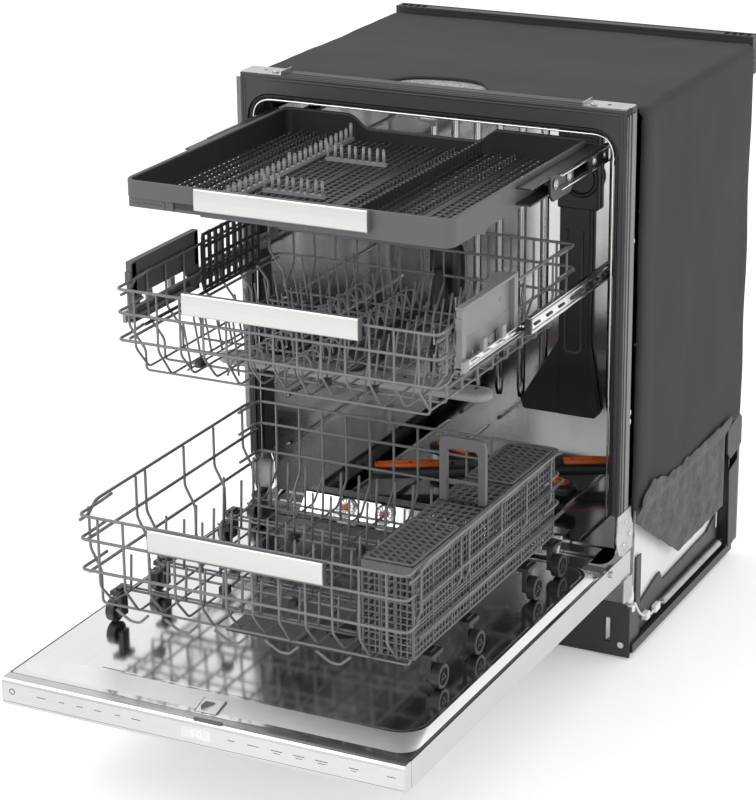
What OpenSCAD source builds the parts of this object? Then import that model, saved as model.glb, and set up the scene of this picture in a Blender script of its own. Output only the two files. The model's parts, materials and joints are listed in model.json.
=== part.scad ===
// Built-in dishwasher with three pull-out racks, shown with its door open and its racks drawn out.
// +X is right as seen from the front, +Y is to the back, +Z is up, and z = 0 is the floor.

/* [Cabinet] */
// Width of the front frame
frame_w = 606; // [596:1:610]
// Height of the front frame's top above the floor
frame_top = 858; // [850:1:866]
// Distance from the front frame to the back of the machine
cabinet_d = 545; // [540:1:560]
// Height of the tub's floor lip above the floor
lip_z = 190; // [186:1:192]
// Width of the tub's inside
tub_in_w = 566; // [564:1:568]

/* [Door] */
// Width of the door
door_w = 597; // [590:1:598]
// Distance from the open door's front end to the front frame
door_reach = 695; // [690:1:700]
// Thickness of the open door's edge
door_t = 38; // [36:1:40]
// Height of the raised inner liner above the door's edge
liner_rise = 8; // [6:1:9]

/* [Racks] */
// Width of the wire racks
rack_w = 476; // [470:1:480]
// Thickness of the rack wires
wire_d = 4; // [3.5:0.5:4.5]
// Width of the lower rack
lower_w = 500; // [496:1:504]
// Radius of the lower rack's wheels
wheel_r = 17; // [15:1:18]
// Length of the bar handles
handle_w = 262; // [250:1:270]

/* [Hidden] */
$fn = 48;

steel = [0.75, 0.75, 0.76];
zinc = [0.62, 0.63, 0.62];
dark = [0.22, 0.23, 0.24];
black = [0.08, 0.08, 0.08];
grey = [0.42, 0.43, 0.45];
pale = [0.86, 0.86, 0.85];
felt = [0.25, 0.25, 0.26];
orange = [0.85, 0.38, 0.1];

// Driving planes
back_y = (cabinet_d + door_reach) / 2;
frame_y = back_y - cabinet_d;
door_y = frame_y - door_reach;
door_top = 182;
door_bottom = door_top - door_t;
liner_top = door_top + liner_rise;
hinge_y = frame_y - 13;
hinge_z = 173;
tub_back = back_y - 18;
tub_top = 838;
tub_floor = 160;

// Clearance between the flat panels of a wire rack
gap = 0.4;

// Corner points of a rounded rectangle about the origin
function corner(x, y, r, from) = [for (a = [0 : 18 : 90]) [x + r * cos(from + a), y + r * sin(from + a)]];
function rounded(w, h, r) = concat(
    corner(w / 2 - r, h / 2 - r, r, 0), corner(r - w / 2, h / 2 - r, r, 90),
    corner(r - w / 2, r - h / 2, r, 180), corner(w / 2 - r, r - h / 2, r, 270)
);

// A block from its lowest corner to its highest corner
module block(lo, hi) {
    translate(lo) cube([hi[0] - lo[0], hi[1] - lo[1], hi[2] - lo[2]]);
}

// The same thing on the left and on the right
module both_sides() {
    children();
    mirror([1, 0, 0]) children();
}

// A plate standing across the machine: a 2D shape in X and Z, from y = at to y = at + thick
module across(at, thick) {
    translate([0, at + thick, 0]) rotate([90, 0, 0]) linear_extrude(thick) children();
}

// A plate standing along the machine: a 2D shape in Y and Z, from x = at to x = at + thick
module along(at, thick) {
    translate([at, 0, 0]) rotate([90, 0, 90]) linear_extrude(thick) children();
}

// A flat plate with rows of openings, of the size w by h, with its lowest corner at the origin
module lattice(w, h, nx, ny, bar) {
    pitch_x = (w - bar) / nx;
    pitch_y = (h - bar) / ny;
    difference() {
        square([w, h]);
        for (i = [0 : nx - 1], j = [0 : ny - 1]) {
            translate([bar + i * pitch_x, bar + j * pitch_y]) square([pitch_x - bar, pitch_y - bar]);
        }
    }
}

// ---- Cabinet ----

// Stainless tub, open at the front, with ribs pressed into its back
module tub() color(steel) {
    wall = 2;
    out_w = tub_in_w + 2 * wall;
    mid_z = (tub_top + tub_floor) / 2;
    difference() {
        union() {
            across(frame_y + 42, tub_back + wall - frame_y - 42)
                translate([0, mid_z]) polygon(rounded(out_w, tub_top - tub_floor, 30));
            // Floor lip under the frame, which the lower rack rolls over
            block([-out_w / 2 + 20, frame_y + 10, lip_z - 6], [out_w / 2 - 20, frame_y + 50, lip_z - 2]);
        }
        across(frame_y + 50, tub_back - frame_y - 50)
            translate([0, mid_z]) polygon(rounded(tub_in_w, tub_top - tub_floor - 2 * wall, 28));
        // The front stays open above the lip
        block([-tub_in_w / 2 + 1, frame_y, lip_z], [tub_in_w / 2 - 1, frame_y + 60, tub_top - 12]);
        // Well for the sump
        translate([0, 345, tub_floor - 20]) cylinder(h = 40, r = 92);
    }
    // Side ledges that the lower rack's wheels roll on
    both_sides() block([232, frame_y + 45, lip_z - 2.2], [tub_in_w / 2 + 1, tub_back + 1, lip_z - 0.2]);
}

// Dark frame round the opening, with a channel for the gasket
module tub_front_frame() color(dark) {
    foot_z = 259;
    open_w = tub_in_w;
    open_top = 820;
    difference() {
        across(frame_y, 40) difference() {
            translate([0, (frame_top + foot_z) / 2])
                square([frame_w, frame_top - foot_z], center = true);
            translate([0, open_top / 2]) polygon(rounded(open_w, open_top, 30));
        }
        across(frame_y - 1, 13) difference() {
            translate([0, (open_top + 10) / 2]) polygon(rounded(open_w + 20, open_top + 10, 38));
        }
    }
}

// Rubber gasket lying in the frame's channel
module door_gasket() color(black) {
    across(frame_y + 2, 10) intersection() {
        difference() {
            translate([0, 414.5]) polygon(rounded(tub_in_w + 19, 829, 37));
            translate([0, 411]) polygon(rounded(tub_in_w + 3, 820, 31));
        }
        translate([-400, 262]) square([800, 600]);
    }
}

// Felt blanket over the tub's top and sides, with a notch at its top front
module insulation_blanket() color(felt) {
    front = frame_y + 60;
    out_x = frame_w / 2 + 9;
    in_x = 291;
    difference() {
        across(front, back_y - 24 - front) difference() {
            translate([0, 545]) square([2 * out_x, 610], center = true);
            translate([0, 500]) square([2 * in_x, 680], center = true);
        }
        block([-100, front - 1, 830], [50, front + 70, 860]);
    }
}

// Mottled pads low on both sides, pointed at the bottom
module lower_side_pads() color([0.36, 0.34, 0.32]) both_sides() {
    along(frame_w / 2 - 3, 5)
        polygon([[147, 238], [538, 238], [538, 110], [337, 104], [150, 220]]);
}

// Black beam across the back at the top, with a pocket near each end
module rear_top_beam() color(black) {
    difference() {
        block([-305, back_y - 22, 800], [305, back_y, 860]);
        block([-250, back_y - 23, 799], [250, back_y - 5, 848]);
        // Step that clears the tub's back
        block([-287, back_y - 23, 799], [287, back_y - 14, tub_top + 2]);
        both_sides() for (i = [0 : 3]) {
            block([255 + i * 11.5, back_y - 17, 824], [264 + i * 11.5, back_y - 4, 861]);
        }
    }
}

// Galvanised strips along the frame's outer sides, and the flange on the left one
module side_strips() color(zinc) {
    both_sides() block([frame_w / 2, frame_y + 2, 262], [frame_w / 2 + 1.5, frame_y + 36, 850]);
    block([-frame_w / 2 - 9, frame_y + 4, 300], [-frame_w / 2 - 1.4, frame_y + 6, 850]);
}

// Brackets on the frame's top, each with a screw hole for the worktop
module top_brackets() color(zinc) both_sides() difference() {
    union() {
        block([236, frame_y + 2, frame_top], [302, frame_y + 38, frame_top + 2]);
        block([236, frame_y + 2, frame_top], [238, frame_y + 38, frame_top + 6]);
    }
    translate([270, frame_y + 20, frame_top - 1]) cylinder(h = 4, r = 3.2);
}

// Striker that the door's latch bolt hooks behind
module latch_strike() color(zinc) {
    block([-16, frame_y + 4, 812], [16, frame_y + 24, 820]);
    block([-5, frame_y + 16, 803], [5, frame_y + 20, 812]);
}

// White tray under the tub, which holds the pumps and catches leaks
module base_pan() color(pale) {
    difference() {
        block([-284, 246, 14], [284, 580, 152]);
        block([-280, 250, 18], [280, 576, 153]);
    }
}

// Black steel rails along the bottom at both sides
module base_side_rails() color(black) both_sides() {
    block([287, frame_y + 80, 8], [300, 598, 22]);
    block([287, frame_y + 80, 22], [289, 560, 60]);
}

// Black posts that hold the tub's back corners on the rails
module rear_supports() color(black) both_sides() {
    difference() {
        block([286, 564, 22], [302, 616, 238]);
        block([289, 568, 40], [303, 606, 120]);
        block([289, 568, 140], [303, 606, 220]);
    }
}

// Recessed plate below the door, with rounded top corners and adjusting slots
module toe_kick() color(black) {
    across(148, 4) difference() {
        union() {
            translate([0, 40]) square([594, 76], center = true);
            translate([0, 52]) polygon(rounded(594, 72, 12));
        }
        for (s = [-1, 1]) {
            translate([s * 262, 44]) square([8, 40], center = true);
            translate([s * 284, 22]) circle(r = 2.6);
        }
    }
}

// Screws of the toe kick
module toe_kick_screws() color(zinc) for (s = [-1, 1]) {
    translate([s * 284, 0, 22]) rotate([90, 0, 0]) translate([0, 0, -160]) cylinder(h = 14, r = 2.4);
    translate([s * 284, 0, 22]) rotate([90, 0, 0]) translate([0, 0, -148]) cylinder(h = 2.5, r = 5);
}

// Levelling legs: a threaded stem in a round foot at each corner
module levelling_legs() color(zinc) both_sides() for (y = [190, 590]) {
    translate([262, y, 0]) {
        cylinder(h = 7, r = 17);
        cylinder(h = 70, r = 5);
    }
}

// Extension springs that balance the door, one on each side
module door_springs() color(zinc) both_sides() {
    translate([296, 284, 40]) rotate([-90, 0, 0]) cylinder(h = 262, r = 7);
    translate([296, 546, 40]) rotate([-90, 0, 0]) cylinder(h = 18, r = 2);
    translate([296, 170, 40]) rotate([-90, 0, 0]) cylinder(h = 114, r = 2);
}

// Zinc plates that carry the hinge pins
module hinge_brackets() color(zinc) both_sides() {
    difference() {
        along(299.5, 2) polygon([
            [40, 156], [80, 152], [112, 104], [145, 104], [145, 222],
            [133, 238], [133, 256], [76, 256], [40, 196]
        ]);
        translate([298, hinge_y, hinge_z]) rotate([0, 90, 0]) cylinder(h = 6, r = 5);
    }
    block([290, 100, 252], [299.5, 133, 254]);
}

// Pins that the door turns on
module hinge_pins() color(zinc) both_sides() {
    translate([286, hinge_y, hinge_z]) rotate([0, 90, 0]) cylinder(h = 16, r = 5);
}

// Arms inside the door's edges, which turn on the pins
module hinge_arms() color(zinc) both_sides() {
    difference() {
        along(288, 3) polygon([
            [-90, 150], [hinge_y + 80, 147], [150, 128], [158, 136], [152, 158],
            [hinge_y + 16, door_top - 2.5], [hinge_y - 16, door_top - 2.5], [-90, 176]
        ]);
        translate([280, hinge_y, hinge_z]) rotate([0, 90, 0]) cylinder(h = 20, r = 5);
    }
}

// ---- Door ----

// Stainless outer skin with folded sides
module door_outer_panel() color(steel) {
    skin = 1.5;
    tail_y = frame_y + 66;
    difference() {
        block([-door_w / 2, door_y + 20, door_bottom], [door_w / 2, tail_y, door_top]);
        block([-door_w / 2 + skin, door_y + 19, door_bottom + skin],
            [door_w / 2 - skin, tail_y + 1, door_top + 1]);
        both_sides() translate([290, hinge_y, hinge_z]) rotate([0, 90, 0]) cylinder(h = 12, r = 5.4);
    }
}

// Stainless inner liner with a raised middle and a channel round it
module door_liner() color(steel) {
    rim_w = door_w - 4;
    mid_y = (door_y + 46 + frame_y - 30) / 2;
    rise_l = frame_y - 30 - door_y - 46;
    difference() {
        union() {
            block([-rim_w / 2, door_y + 21, door_top - 2], [rim_w / 2, frame_y - 34, door_top]);
            translate([0, mid_y - 12, door_top - 3])
                linear_extrude(liner_top - door_top + 3) polygon(rounded(560, rise_l, 46));
            // Tail that leads onto the tub's lip
            block([-262, frame_y - 50, door_top], [262, frame_y + 8, door_top + 2]);
        }
        translate([0, mid_y - 12, door_top - 4])
            linear_extrude(liner_rise + 2.5) polygon(rounded(557, rise_l - 3, 44));
        block([-96, -375, door_top], [96, -244, liner_top + 1]);
        block([-27, door_y + 23, door_top], [27, door_y + 55, liner_top + 1]);
    }
}

// Front end of the open door, where the controls are
module control_panel() color(steel) {
    difference() {
        block([-door_w / 2, door_y, door_bottom], [door_w / 2, door_y + 19.8, door_top + 2]);
        block([-door_w / 2 + 2, door_y + 2, door_bottom + 2], [door_w / 2 - 2, door_y + 21, door_top]);
        block([-24, door_y - 1, 156], [24, door_y + 3, 172]);
        block([-18, door_y - 1, 175], [18, door_y + 3, 180]);
    }
}

// Clear window over the display
module display_window() color(black) {
    block([-23.6, door_y + 0.3, 156.4], [23.6, door_y + 2, 171.6]);
}

// Latch case on the liner near the front end
module latch_housing() color(grey) {
    difference() {
        block([-26, door_y + 24, door_top], [26, door_y + 54, liner_top - 0.5]);
        block([-20, door_y + 28, door_top + 2], [20, door_y + 50, liner_top]);
    }
}

// Sprung bolt in the latch case
module latch_bolt() color(zinc) {
    block([-7, door_y + 30, door_top + 2.2], [7, door_y + 44, liner_top - 1]);
}

// Grey dispenser let into the liner
module dispenser_body() color(grey) {
    difference() {
        block([-95, -374, 158], [95, -245, liner_top]);
        block([-86, -366, 170], [14, -254, liner_top + 1]);
        translate([55, -310, liner_top - 8]) cylinder(h = 20, r = 24.5);
    }
}

// Cover that slides to the left off the detergent cup
module detergent_lid() color(grey) {
    block([-89, -369, liner_top + 0.3], [17, -251, liner_top + 3]);
    block([8, -330, liner_top + 2], [13, -290, liner_top + 6]);
}

// Screw cap of the rinse-aid tank
module rinse_aid_cap() color(dark) {
    translate([55, -310, liner_top - 7.8]) cylinder(h = 9, r = 24);
    block([35, -313, liner_top + 1.2], [75, -307, liner_top + 6]);
}

// ---- Wash system ----

// Dark conduit up the back wall and along the ceiling, with the socket that the upper rack docks in
conduit_x = 28;
dock_z = 608;
module rear_water_conduit() color(dark) {
    difference() {
        union() {
            block([conduit_x - 35, tub_back - 14, 200], [conduit_x + 35, tub_back, 826]);
            block([-18, 330, 826], [conduit_x + 22, tub_back, 835]);
        }
        translate([conduit_x, tub_back - 6, dock_z]) rotate([90, 0, 0]) cylinder(h = 20, r = 26);
    }
    translate([0, 345, 809]) cylinder(h = 17.5, r = 5.95);
}

// Sump in the tub's floor, with its strainer plate
module sump_housing() color(dark) {
    difference() {
        union() {
            translate([0, 345, 92]) cylinder(h = 64, r = 88);
            translate([0, 345, 156]) cylinder(h = 8, r = 91);
            translate([0, 345, 164]) cylinder(h = 16, r = 24);
        }
        translate([52, 345, 104]) cylinder(h = 80, r = 27);
        translate([0, 345, 150]) cylinder(h = 60, r = 6);
    }
}

// Removable filter cup in the sump
module filter_cup() color(grey) {
    difference() {
        translate([52, 345, 105]) cylinder(h = 62, r = 26.5);
        translate([52, 345, 108]) cylinder(h = 62, r = 22);
    }
    block([30, 343, 160], [74, 347, 166]);
}

// Wash pump and its motor on the pan
module wash_pump() color(dark) {
    translate([-120, 300, 62]) rotate([-90, 0, 0]) cylinder(h = 60, r = 42);
    translate([-120, 360, 62]) rotate([-90, 0, 0]) cylinder(h = 90, r = 34);
    block([-140, 310, 18.2], [-100, 440, 30]);
}

// Drain pump with the stub that the drain hose pushes onto
module drain_pump() color(dark) {
    translate([150, 330, 56]) rotate([-90, 0, 0]) cylinder(h = 90, r = 28);
    translate([190, 420, 56]) rotate([-90, 0, 0]) cylinder(h = 70, r = 9);
    block([140, 330, 18.2], [160, 420, 34]);
    block([160, 412, 46], [196, 422, 66]);
}

// Inlet valve behind the toe kick, with its threaded port
module inlet_valve() color(pale) {
    difference() {
        union() {
            block([-250, 170, 24], [-205, 230, 64]);
            translate([-228, 153, 44]) rotate([-90, 0, 0]) cylinder(h = 17, r = 10);
        }
        translate([-228, 150, 44]) rotate([-90, 0, 0]) cylinder(h = 30, r = 6);
    }
}

// A spray arm: a flat blade with round ends about a hub at the origin
module spray_arm(length, width, thick) {
    linear_extrude(thick) union() {
        square([length - width, width], center = true);
        for (s = [-1, 1]) translate([s * (length - width) / 2, 0]) circle(r = width / 2);
    }
}
module lower_spray_arm() color(orange) translate([0, 345, 0]) {
    translate([0, 0, 184]) spray_arm(430, 46, 16);
    translate([0, 0, 184]) rotate([0, 0, 60]) spray_arm(250, 40, 16);
    translate([0, 0, 166]) cylinder(h = 18, r = 5.95);
    translate([0, 0, 180.4]) cylinder(h = 4, r = 30);
}
module upper_spray_arm() color(grey) translate([0, -165, 0]) difference() {
    union() {
        translate([0, 0, 503]) spray_arm(420, 44, 12);
        translate([0, 0, 503]) cylinder(h = 16, r = 24);
    }
    translate([0, 0, 500]) cylinder(h = 30, r = 6);
}
module ceiling_spray_arm() color(grey) translate([0, 345, 0]) difference() {
    union() {
        translate([0, 0, 811]) spray_arm(240, 34, 8);
        translate([0, 0, 811]) cylinder(h = 13, r = 17);
    }
    translate([0, 0, 800]) cylinder(h = 30, r = 6);
}

// ---- Third rack ----

third_y = -357;
third_l = 452;
third_top = 809;

// Grey tray with slotted floor, low front and a dip in its back
module third_rack_tray() color(grey) {
    w = 480;
    floor_z = 770;
    difference() {
        union() {
            block([-w / 2, third_y, floor_z], [w / 2, third_y + third_l, floor_z + 3]);
            block([-w / 2, third_y, floor_z], [4 - w / 2, third_y + third_l, third_top]);
            block([w / 2 - 4, third_y, floor_z], [w / 2, third_y + third_l, third_top]);
            block([-w / 2, third_y, floor_z], [w / 2, third_y + 5, third_top]);
            block([-w / 2, third_y + third_l - 4, floor_z], [w / 2, third_y + third_l, third_top]);
        }
        for (i = [0 : 12], j = [0 : 5]) {
            translate([-222 + i * 35, third_y + 16 + j * 72, floor_z - 1]) cube([26, 60, 5]);
        }
        block([-120, third_y + third_l - 6, 790], [90, third_y + third_l + 1, third_top + 1]);
    }
    // Runners that hang on the middle rails' rollers
    both_sides() {
        block([w / 2 - 1, third_y + 200, 799], [w / 2 + 22, third_y + third_l, 801.5]);
        block([w / 2 - 1, third_y + 200, 777], [w / 2 + 22, third_y + third_l, 779.5]);
    }
}

// A comb of tines, n of them along +Y from the origin
module comb(n, pitch, tall) {
    block([0, 0, 0], [4, (n - 1) * pitch + 4, 4]);
    for (i = [0 : n - 1]) {
        translate([1, i * pitch + 1, 4]) cube([2, 2, tall]);
    }
}

// Combs that stand on the tray's floor: one long, two short across and one long at the right
module third_rack_tines() color([0.7, 0.71, 0.72]) {
    translate([-123, third_y + 72, 773.2]) comb(20, 18, 22);
    translate([84, third_y + 40, 773.2]) comb(22, 18, 18);
    for (y = [-222, -38]) {
        translate([-12, y, 773.2]) rotate([0, 0, 90]) comb(8, 12, 20);
    }
}

// A satin bar handle with a rounded section, w wide, from z0 to z1, its front face at y
module bar_handle(w, y, z0, z1) {
    block([-w / 2, y, z0], [w / 2, y + 7, z1]);
    block([-w / 2 + 4, y + 7, z0 + 8], [w / 2 - 4, y + 10, z1 - 8]);
}
module third_rack_handle() color(pale) bar_handle(256, third_y - 10.2, 780, 810);

// Channels on the tub's side walls, which the third rack's middle rails run in
module third_outer_rails() color(dark) both_sides() difference() {
    block([264, frame_y + 51, 766], [282.8, tub_back - 30, 807.5]);
    block([263, frame_y + 50, 771], [277, tub_back - 29, 804]);
}

// Middle rails with rollers, which run half as far as the third rack
module third_middle_rails() color(dark) both_sides() {
    block([265, -95, 778], [270, 300, 801]);
    for (y = [-80, -34, 56, 96]) {
        translate([250, y, 789.5]) rotate([0, 90, 0]) cylinder(h = 15, r = 5.5);
        translate([249.2, y, 789.5]) rotate([0, 90, 0]) cylinder(h = 1.5, r = 8);
    }
}

// ---- Upper rack ----

upper_y = -392;
upper_l = 450;
upper_top = 668;
upper_floor = 545;

// Wire basket: a floor and four sloped-in walls, each a flat lattice of welded wires
module upper_rack_basket() color(grey) {
    half = rack_w / 2;
    translate([-half, upper_y, upper_floor]) linear_extrude(wire_d) lattice(rack_w, upper_l, 12, 8, wire_d);
    for (x = [-half, half - wire_d]) {
        along(x, wire_d) translate([upper_y, upper_floor + wire_d + gap])
            lattice(upper_l, upper_top - upper_floor - wire_d - gap, 10, 3, wire_d);
    }
    for (y = [upper_y, upper_y + upper_l - wire_d]) {
        across(y, wire_d) translate([-half + wire_d + gap, upper_floor + wire_d + gap])
            lattice(rack_w - 2 * wire_d - 2 * gap, upper_top - upper_floor - wire_d - gap, 12, 3, wire_d);
    }
    for (x = [-140, -70, 70, 140]) {
        translate([x, upper_y + 30, upper_floor + wire_d + gap]) tine_row(10, 40, 60);
    }
}

// A row of n welded tines along +Y, as tall as given, on a foot wire
module tine_row(n, pitch, tall) {
    rotate([90, 0, 90]) linear_extrude(3) {
        for (i = [0 : n - 1]) {
            translate([i * pitch, 0]) square([3, tall]);
        }
        square([(n - 1) * pitch + 3, 3]);
    }
}

module upper_rack_handle() color(pale) bar_handle(handle_w, upper_y - 10.4, 647, 677);

// Height adjusters outside the rack's walls, with the hooks that sit on the rails
module upper_rack_adjusters() color(grey) both_sides() {
    difference() {
        block([half_rack() + 1, -345, 604], [half_rack() + 12, -168, 692]);
        block([half_rack() - 1, -330, 618], [half_rack() + 9, -183, 640]);
    }
    // Inner member of the telescopic rail, which the adjuster hangs on
    block([half_rack() + 12, -345, 606], [half_rack() + 16, 58, 618]);
}
function half_rack() = rack_w / 2;

// Water pipe under the upper rack, with the spray arm's pin and the dome that docks at the back
module upper_manifold() color(dark) {
    block([-16, -190, 527], [16, 40, 541]);
    block([-16, 26, 527], [conduit_x + 16, 62, 541]);
    block([conduit_x - 16, 60, 527], [conduit_x + 16, 72, dock_z]);
    translate([conduit_x, 72, dock_z]) rotate([-90, 0, 0]) cylinder(h = 30, r1 = 36, r2 = 22);
    translate([0, -165, 519.4]) cylinder(h = 8, r = 18);
    translate([0, -165, 500]) cylinder(h = 20, r = 5.95);
    translate([0, -165, 497]) cylinder(h = 5.6, r = 11);
}

// Fold-down cup shelf along the left wall
module left_cup_shelf() color(dark) {
    translate([-half_rack() + 8, 0, 0]) {
        translate([0, upper_y + 60, 600]) rotate([-90, 0, 0]) cylinder(h = 320, r = 2);
        along(-1.5, 3) translate([upper_y + 60, 603]) lattice(320, 84, 10, 3, 3.5);
        block([-1.5, upper_y + 60, 600], [1.5, upper_y + 380, 603.2]);
    }
}

// Telescopic rails: channels fixed to the tub's walls
module upper_outer_rails() color(zinc) both_sides() {
    difference() {
        block([266, frame_y + 51, 592], [282.8, tub_back - 30, 632]);
        block([265, frame_y + 50, 597], [276, tub_back - 29, 627]);
    }
}

// Telescopic rails: middle members, which run half as far as the rack
module upper_middle_rails() color(zinc) both_sides() {
    difference() {
        block([256.5, -160, 600], [274, frame_y + 230, 624]);
        block([254, -161, 603], [264, frame_y + 231, 621]);
    }
}

// ---- Lower rack ----

lower_y = -500;
lower_l = 500;
lower_top = 382;
lower_floor = 240;

// Wire basket: a floor and four walls, each a flat lattice of welded wires
module lower_rack_basket() color(grey) {
    half = lower_w / 2;
    translate([-half, lower_y, lower_floor]) linear_extrude(wire_d) lattice(lower_w, lower_l, 12, 9, wire_d);
    for (x = [-half, half - wire_d]) {
        along(x, wire_d) translate([lower_y, lower_floor + wire_d + gap])
            lattice(lower_l, lower_top - lower_floor - wire_d - gap, 11, 3, wire_d);
    }
    for (y = [lower_y, lower_y + lower_l - wire_d]) {
        across(y, wire_d) translate([-half + wire_d + gap, lower_floor + wire_d + gap])
            lattice(lower_w - 2 * wire_d - 2 * gap, lower_top - lower_floor - wire_d - gap, 12, 3, wire_d);
    }
    for (x = [-200, -110, -20, 70]) {
        translate([x, lower_y + 50, lower_floor + wire_d + gap]) tine_row(10, 42, 78);
    }
    // Axle wires of the wheels, hung under the floor
    for (y = wheel_places) {
        both_sides() block([half - 14, y - 2, wheel_z - 2], [half - 10, y + 2, lower_floor - gap]);
        both_sides() translate([half - 14, y, wheel_z]) rotate([0, 90, 0]) cylinder(h = 20, r = 2.5);
    }
}
wheel_z = liner_top + wheel_r + 0.3;
wheel_places = [-412, -297, -100, -12];

module lower_rack_handle() color(pale) bar_handle(handle_w, lower_y - 10.4, 351, 382);

// A pair of the lower rack's wheels, one on each side, at the given place along the rack
module wheel_pair(y) {
    both_sides() translate([lower_w / 2 - 8.5, y, wheel_z]) rotate([0, 90, 0]) difference() {
        cylinder(h = 13, r = wheel_r);
        translate([0, 0, -1]) cylinder(h = 15, r = 2.55);
    }
}
module wheels_front() color(dark) wheel_pair(wheel_places[0]);
module wheels_second() color(dark) wheel_pair(wheel_places[1]);
module wheels_third() color(dark) wheel_pair(wheel_places[2]);
module wheels_rear() color(dark) wheel_pair(wheel_places[3]);

// ---- Silverware basket ----

basket_x0 = 170;
basket_x1 = 243;
basket_y0 = -478;
basket_y1 = -22;
basket_z0 = 256;
basket_top = 384;

// Open box: a grid floor, two grid sides and five cross walls
module silverware_basket() color(grey) {
    w = basket_x1 - basket_x0;
    l = basket_y1 - basket_y0;
    h = basket_top - basket_z0;
    t = 2.5;
    translate([basket_x0, basket_y0, basket_z0]) linear_extrude(t) lattice(w, l, 3, 14, 3);
    for (x = [basket_x0, basket_x1 - t]) {
        along(x, t) translate([basket_y0, basket_z0 + t + gap]) lattice(l, h - t - gap, 14, 4, 3);
    }
    for (y = [basket_y0, -328, -254, -170, basket_y1 - t]) {
        across(y, t) translate([basket_x0 + t + gap, basket_z0 + t + gap])
            lattice(w - 2 * t - 2 * gap, h - t - gap, 3, 4, 3);
    }
}

// A slotted cover from y0 to y1, which turns up on the barrel along its inner edge
module basket_lid(y0, y1) {
    difference() {
        block([basket_x0 + 3, y0, basket_top + 0.6], [basket_x1 - 1, y1, basket_top + 3.2]);
        for (i = [0 : 7], j = [0 : 2]) {
            translate([basket_x0 + 12 + j * 20, y0 + 8 + i * (y1 - y0 - 14) / 8, basket_top - 1])
                cube([14, 9, 6]);
        }
    }
    translate([basket_x0 + 3, y0, basket_top + 1.9]) rotate([-90, 0, 0]) cylinder(h = y1 - y0, r = 1.3);
}
module front_basket_lid() color(grey) basket_lid(-477, -333);
module rear_basket_lid() color(grey) basket_lid(-167, -24);

// Raised frame handle in the basket's middle
module basket_handle() color(grey) {
    across(-252, 8) translate([(basket_x0 + basket_x1) / 2, basket_top + 46]) difference() {
        square([68, 92], center = true);
        translate([0, -4]) square([52, 76], center = true);
    }
}

tub();
tub_front_frame();
door_gasket();
insulation_blanket();
lower_side_pads();
rear_top_beam();
side_strips();
top_brackets();
latch_strike();
base_pan();
base_side_rails();
rear_supports();
toe_kick();
toe_kick_screws();
levelling_legs();
door_springs();
hinge_brackets();
hinge_pins();
hinge_arms();
door_outer_panel();
door_liner();
control_panel();
display_window();
latch_housing();
latch_bolt();
dispenser_body();
detergent_lid();
rinse_aid_cap();
rear_water_conduit();
sump_housing();
filter_cup();
wash_pump();
drain_pump();
inlet_valve();
lower_spray_arm();
upper_spray_arm();
ceiling_spray_arm();
third_rack_tray();
third_rack_tines();
third_rack_handle();
third_outer_rails();
third_middle_rails();
upper_rack_basket();
upper_rack_handle();
upper_rack_adjusters();
upper_manifold();
left_cup_shelf();
upper_outer_rails();
upper_middle_rails();
lower_rack_basket();
lower_rack_handle();
wheels_front();
wheels_second();
wheels_third();
wheels_rear();
silverware_basket();
front_basket_lid();
rear_basket_lid();
basket_handle();
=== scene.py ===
"""Looks of the built-in dishwasher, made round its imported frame.

Shapes are worked out in millimetres from the boxes of the CAD nodes, and become metres in Shape.piece().
"""
import json
import math
import random

import bmesh
import bpy
from mathutils import Matrix, Vector, noise


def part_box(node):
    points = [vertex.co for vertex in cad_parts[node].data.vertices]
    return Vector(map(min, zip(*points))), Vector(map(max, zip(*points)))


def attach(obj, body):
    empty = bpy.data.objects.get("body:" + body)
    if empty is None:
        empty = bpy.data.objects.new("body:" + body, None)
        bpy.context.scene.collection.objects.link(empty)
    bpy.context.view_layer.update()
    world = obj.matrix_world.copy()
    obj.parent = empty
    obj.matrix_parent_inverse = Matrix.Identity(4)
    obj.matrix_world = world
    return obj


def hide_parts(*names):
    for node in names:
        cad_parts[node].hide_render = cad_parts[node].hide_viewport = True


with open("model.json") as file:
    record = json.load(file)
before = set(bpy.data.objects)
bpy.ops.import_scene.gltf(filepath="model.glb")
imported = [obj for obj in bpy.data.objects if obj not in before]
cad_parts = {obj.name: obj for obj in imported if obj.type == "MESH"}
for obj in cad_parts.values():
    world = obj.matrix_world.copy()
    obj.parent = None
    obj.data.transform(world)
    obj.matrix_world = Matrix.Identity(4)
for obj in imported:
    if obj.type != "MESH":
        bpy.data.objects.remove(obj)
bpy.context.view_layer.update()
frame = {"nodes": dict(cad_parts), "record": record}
random.seed(11)
MM = 0.001


def span(node):
    """Lowest and highest corner of a CAD node, in millimetres."""
    lo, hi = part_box(node)
    return [c / MM for c in lo], [c / MM for c in hi]


# ---- Camera, floor and light ----

def make_camera():
    """The camera at the photograph's viewing angle."""
    yaw, pitch, roll = (math.radians(a) for a in (26.75, -19.65, -0.63))
    ahead = Vector((-math.sin(yaw) * math.cos(pitch), math.cos(yaw) * math.cos(pitch), math.sin(pitch)))
    side = Vector((math.cos(yaw), math.sin(yaw), 0))
    up = side.cross(ahead)
    right = side * math.cos(roll) + up * math.sin(roll)
    top = up * math.cos(roll) - side * math.sin(roll)
    data = bpy.data.cameras.new("view")
    data.lens = 119.3
    data.sensor_width = 36
    data.shift_x = 0.001
    data.shift_y = -0.007
    camera = bpy.data.objects.new("view", data)
    bpy.context.collection.objects.link(camera)
    turn = Matrix((right, top, -ahead)).transposed().to_4x4()
    camera.matrix_world = Matrix.Translation((1.590, -3.246, 1.717)) @ turn
    bpy.context.scene.camera = camera


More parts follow.
